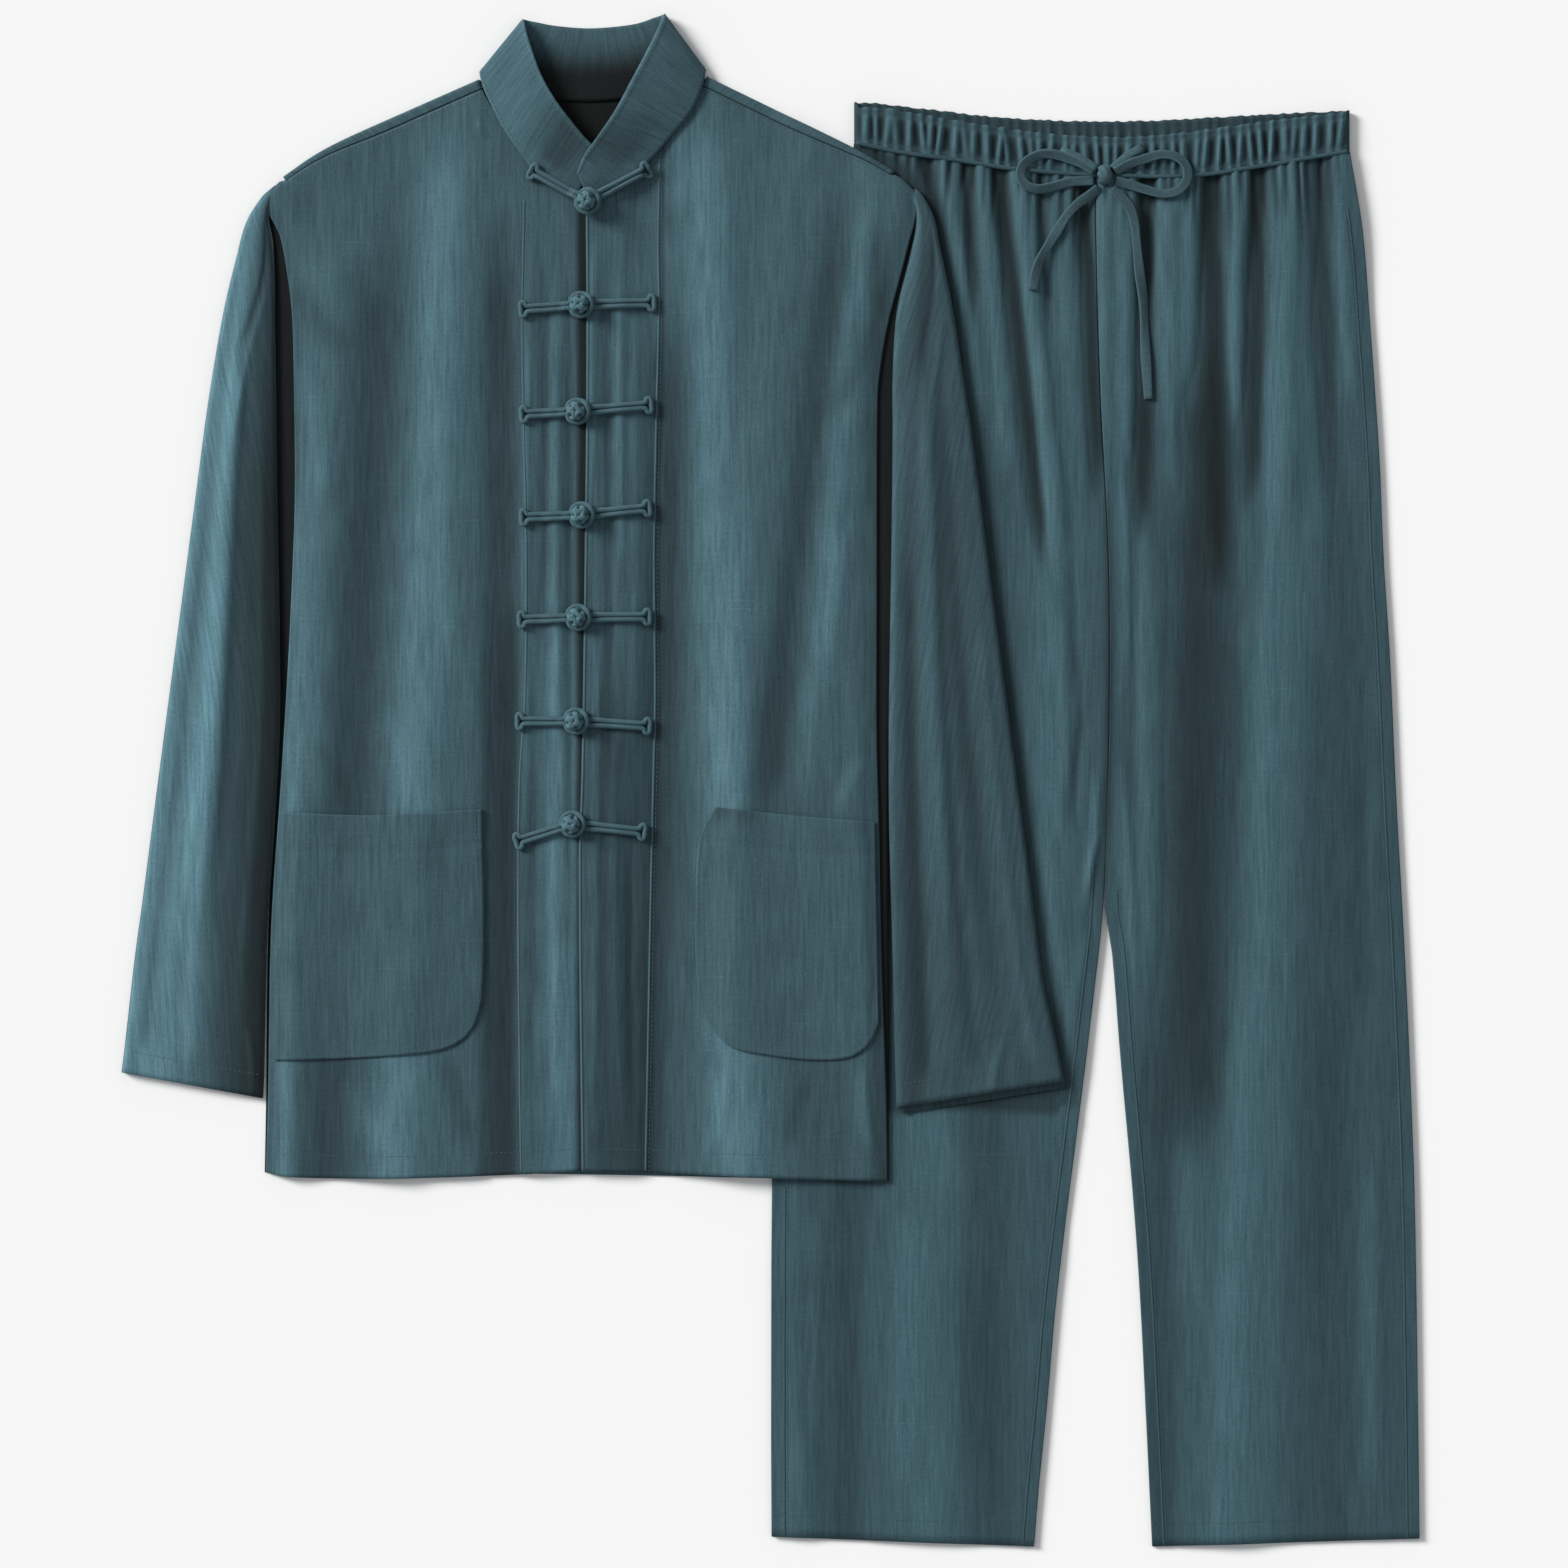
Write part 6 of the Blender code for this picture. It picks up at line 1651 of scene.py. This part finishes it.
class UNIFORM_OT_seams(bpy.types.Operator):
    """Sew the seams, hems and plackets: raised welts and topstitching"""
    bl_idname = "uniform.seams"
    bl_label = "Seams and stitches"

    def execute(self, context):
        finish = finishes()
        look = context.scene.uniform_cloth
        jacket = Drape("jacket_front_left_cloth", "jacket_front_right_cloth", "jacket_back_cloth",
                       "sleeve_left_cloth", "sleeve_right_cloth", "collar_cloth", "pocket_left_cloth",
                       "pocket_right_cloth")
        fronts = Drape("jacket_front_left_cloth", "jacket_front_right_cloth")
        trousers = Drape("trouser_front_left_cloth", "trouser_front_right_cloth", "waistband_casing")
        placket_left, placket_right = Line(PLACKET_LEFT), Line(PLACKET_RIGHT)
        centre = Line(CENTRE_RIGHT)
        hem_left, hem_right = Line(HEM_LEFT), Line(HEM_RIGHT)
        welts = [
            welt(along_line(placket_left, 3.0, 0.0, 1.0), fronts, 0.9, 0.45),
            welt(along_line(placket_right, 3.0, 0.0, 1.0), fronts, 1.0, 0.65),
            welt(beside(along_line(centre, 3.0, 0.0, 0.985), 1.2), fronts, 1.0, 0.55)]
        piece = cord_piece("jacket_seams", welts, finish["jacket_cord"])
        dress(piece, "jacket_cloth")

        lines = [
            on_cloth(beside(along_line(placket_left), 2.2), fronts, THREAD_LIFT),
            on_cloth(beside(along_line(placket_right), -2.2), fronts, THREAD_LIFT),
            on_cloth(beside(along_line(centre, 2.5, 0.01, 0.98), 5.0), fronts, THREAD_LIFT),
            on_cloth(beside(along_line(hem_left, 2.5, 0.01, 0.89), -JACKET_HEM_DEPTH), fronts, THREAD_LIFT),
            on_cloth(beside(along_line(hem_right, 2.5, 0.01, 0.99), -JACKET_HEM_DEPTH), fronts, THREAD_LIFT)]
        for line, side in ((Line(SHOULDER_LEFT), "left"), (Line(SHOULDER_RIGHT), "right")):
            under = inset(line, lambda t, side=side: strip_width(side)(t) + BODY_HEIGHT / 2 + 2.2)
            lines.append(on_cloth(under(np.linspace(0.04, 0.96, 100)), fronts, THREAD_LIFT))
        pockets = Drape("pocket_left_cloth", "pocket_right_cloth")
        for outline, sign in ((POCKET_LEFT, 1.0), (POCKET_RIGHT, -1.0)):
            edge = Line(outline)
            corner = edge.knots[2] / edge.length
            for start, end, distance in ((corner + 0.005, 0.995, 1.8), (corner + 0.005, corner + 0.05, 4.2),
                                         (0.01, corner - 0.01, 21.0)):
                row = beside(along_line(edge, 2.5, start, end), sign * distance)
                lines.append(on_cloth(row, pockets, THREAD_LIFT))
        band = np.array(COLLAR, float)
        fine = through(np.arange(len(band)), band, np.linspace(0.3, 7.0, 90))
        other = through(np.arange(len(band)), band, np.linspace(13.6, 20.0, 90))
        for rows in (fine, other):
            for share in (0.05, 0.93):
                xy = rows[:, :2] + (rows[:, 3:5] - rows[:, :2]) * share
                lines.append(on_cloth(xy, jacket, THREAD_LIFT))
        for sections in (SLEEVE_LEFT, SLEEVE_RIGHT):
            a, b = sections[-1], sections[-2]
            t = np.linspace(0.06, 0.94, 60)[:, None]
            cuff = np.array([a.outer_x, a.outer_y]) * (1 - t) + np.array([a.inner_x, a.inner_y]) * t
            up = np.array([b.outer_x - a.outer_x, b.outer_y - a.outer_y])
            up = up / np.hypot(*up) * JACKET_HEM_DEPTH
            lines.append(on_cloth(cuff + up, jacket, THREAD_LIFT))
        jacket_thread = thread_finish("jacket_thread", look.jacket_light)
        stitched("jacket_stitches", lines, "jacket_cloth", jacket_thread)

        lines, welts = [], []
        for hem in (TROUSER_HEM_LEFT, TROUSER_HEM_RIGHT):
            row = beside(along_line(Line(hem), 2.5, 0.01, 0.99), -TROUSER_HEM_DEPTH)
            lines.append(on_cloth(row, trousers, THREAD_LIFT))
        sides = ((TROUSER_OUTER_LEFT, 9.5, 0.0, 0.25), (TROUSER_OUTER_RIGHT, -8.5, 0.0, 0.96),
                 (TROUSER_INNER_LEFT, -8.0, 0.0, 0.5), (TROUSER_INNER_RIGHT, 8.5, 0.0, 0.48))
        for edge, distance, start, end in sides:
            path = beside(along_line(Line(edge), 3.0, start, end), distance)
            welts.append(welt(path, trousers, 0.9, 0.4))
            lines.append(on_cloth(beside(path, 2.0 if distance > 0 else -2.0), trousers, THREAD_LIFT))
        seam = Line(WAIST_SEAM)
        waist = along_line(seam, 2.0, 0.004, 0.996)
        high = np.array([trousers.top(x, y, 2.6) for x, y in waist])
        high = np.convolve(np.pad(high, 4, mode="edge"), np.ones(9) / 9.0, mode="valid") - 0.35
        welts.append(cord_mesh(swept(np.column_stack([waist, high]), 1.5, 8, flat=0.62), False))
        piece = cord_piece("trouser_seams", welts, finish["trouser_cloth"])
        dress(piece, "trouser_cloth")
        trouser_thread = thread_finish("trouser_thread", look.trouser_light)
        stitched("trouser_stitches", lines, "trouser_cloth", trouser_thread)
        return {"FINISHED"}


class UNIFORM_PT_panel(bpy.types.Panel):
    """Settings and steps of the uniform"""
    bl_idname = "UNIFORM_PT_panel"
    bl_label = "Uniform"
    bl_space_type = "VIEW_3D"
    bl_region_type = "UI"
    bl_category = "Uniform"

    def draw(self, context):
        layout = self.layout
        for group in GROUPS:
            box = layout.box()
            for name in GROUPS[group].__annotations__:
                box.prop(getattr(context.scene, group), name)
        for operator in OPERATORS:
            layout.operator(operator.bl_idname)


GROUPS = {
    "uniform_cloth": UniformCloth,
    "uniform_cords": UniformCords,
    "uniform_stitches": UniformStitches,
    "uniform_stage": UniformStage,
}
OPERATORS = (
    UNIFORM_OT_stage, UNIFORM_OT_drawstring, UNIFORM_OT_trousers, UNIFORM_OT_waistband,
    UNIFORM_OT_jacket_body, UNIFORM_OT_sleeves, UNIFORM_OT_collar, UNIFORM_OT_pockets,
    UNIFORM_OT_frogs, UNIFORM_OT_seams)


def register():
    for group in GROUPS.values():
        bpy.utils.register_class(group)
    for kind in (*OPERATORS, UNIFORM_PT_panel):
        bpy.utils.register_class(kind)
    for name, group in GROUPS.items():
        setattr(bpy.types.Scene, name, bpy.props.PointerProperty(type=group))


def unregister():
    for name in GROUPS:
        delattr(bpy.types.Scene, name)
    for kind in (UNIFORM_PT_panel, *reversed(OPERATORS), *reversed(list(GROUPS.values()))):
        bpy.utils.unregister_class(kind)


def main():
    register()
    for operator in OPERATORS:
        step = operator.bl_idname.split(".")[1]
        getattr(bpy.ops.uniform, step)()
    bpy.context.view_layer.update()


if __name__ == "__main__":
    main()
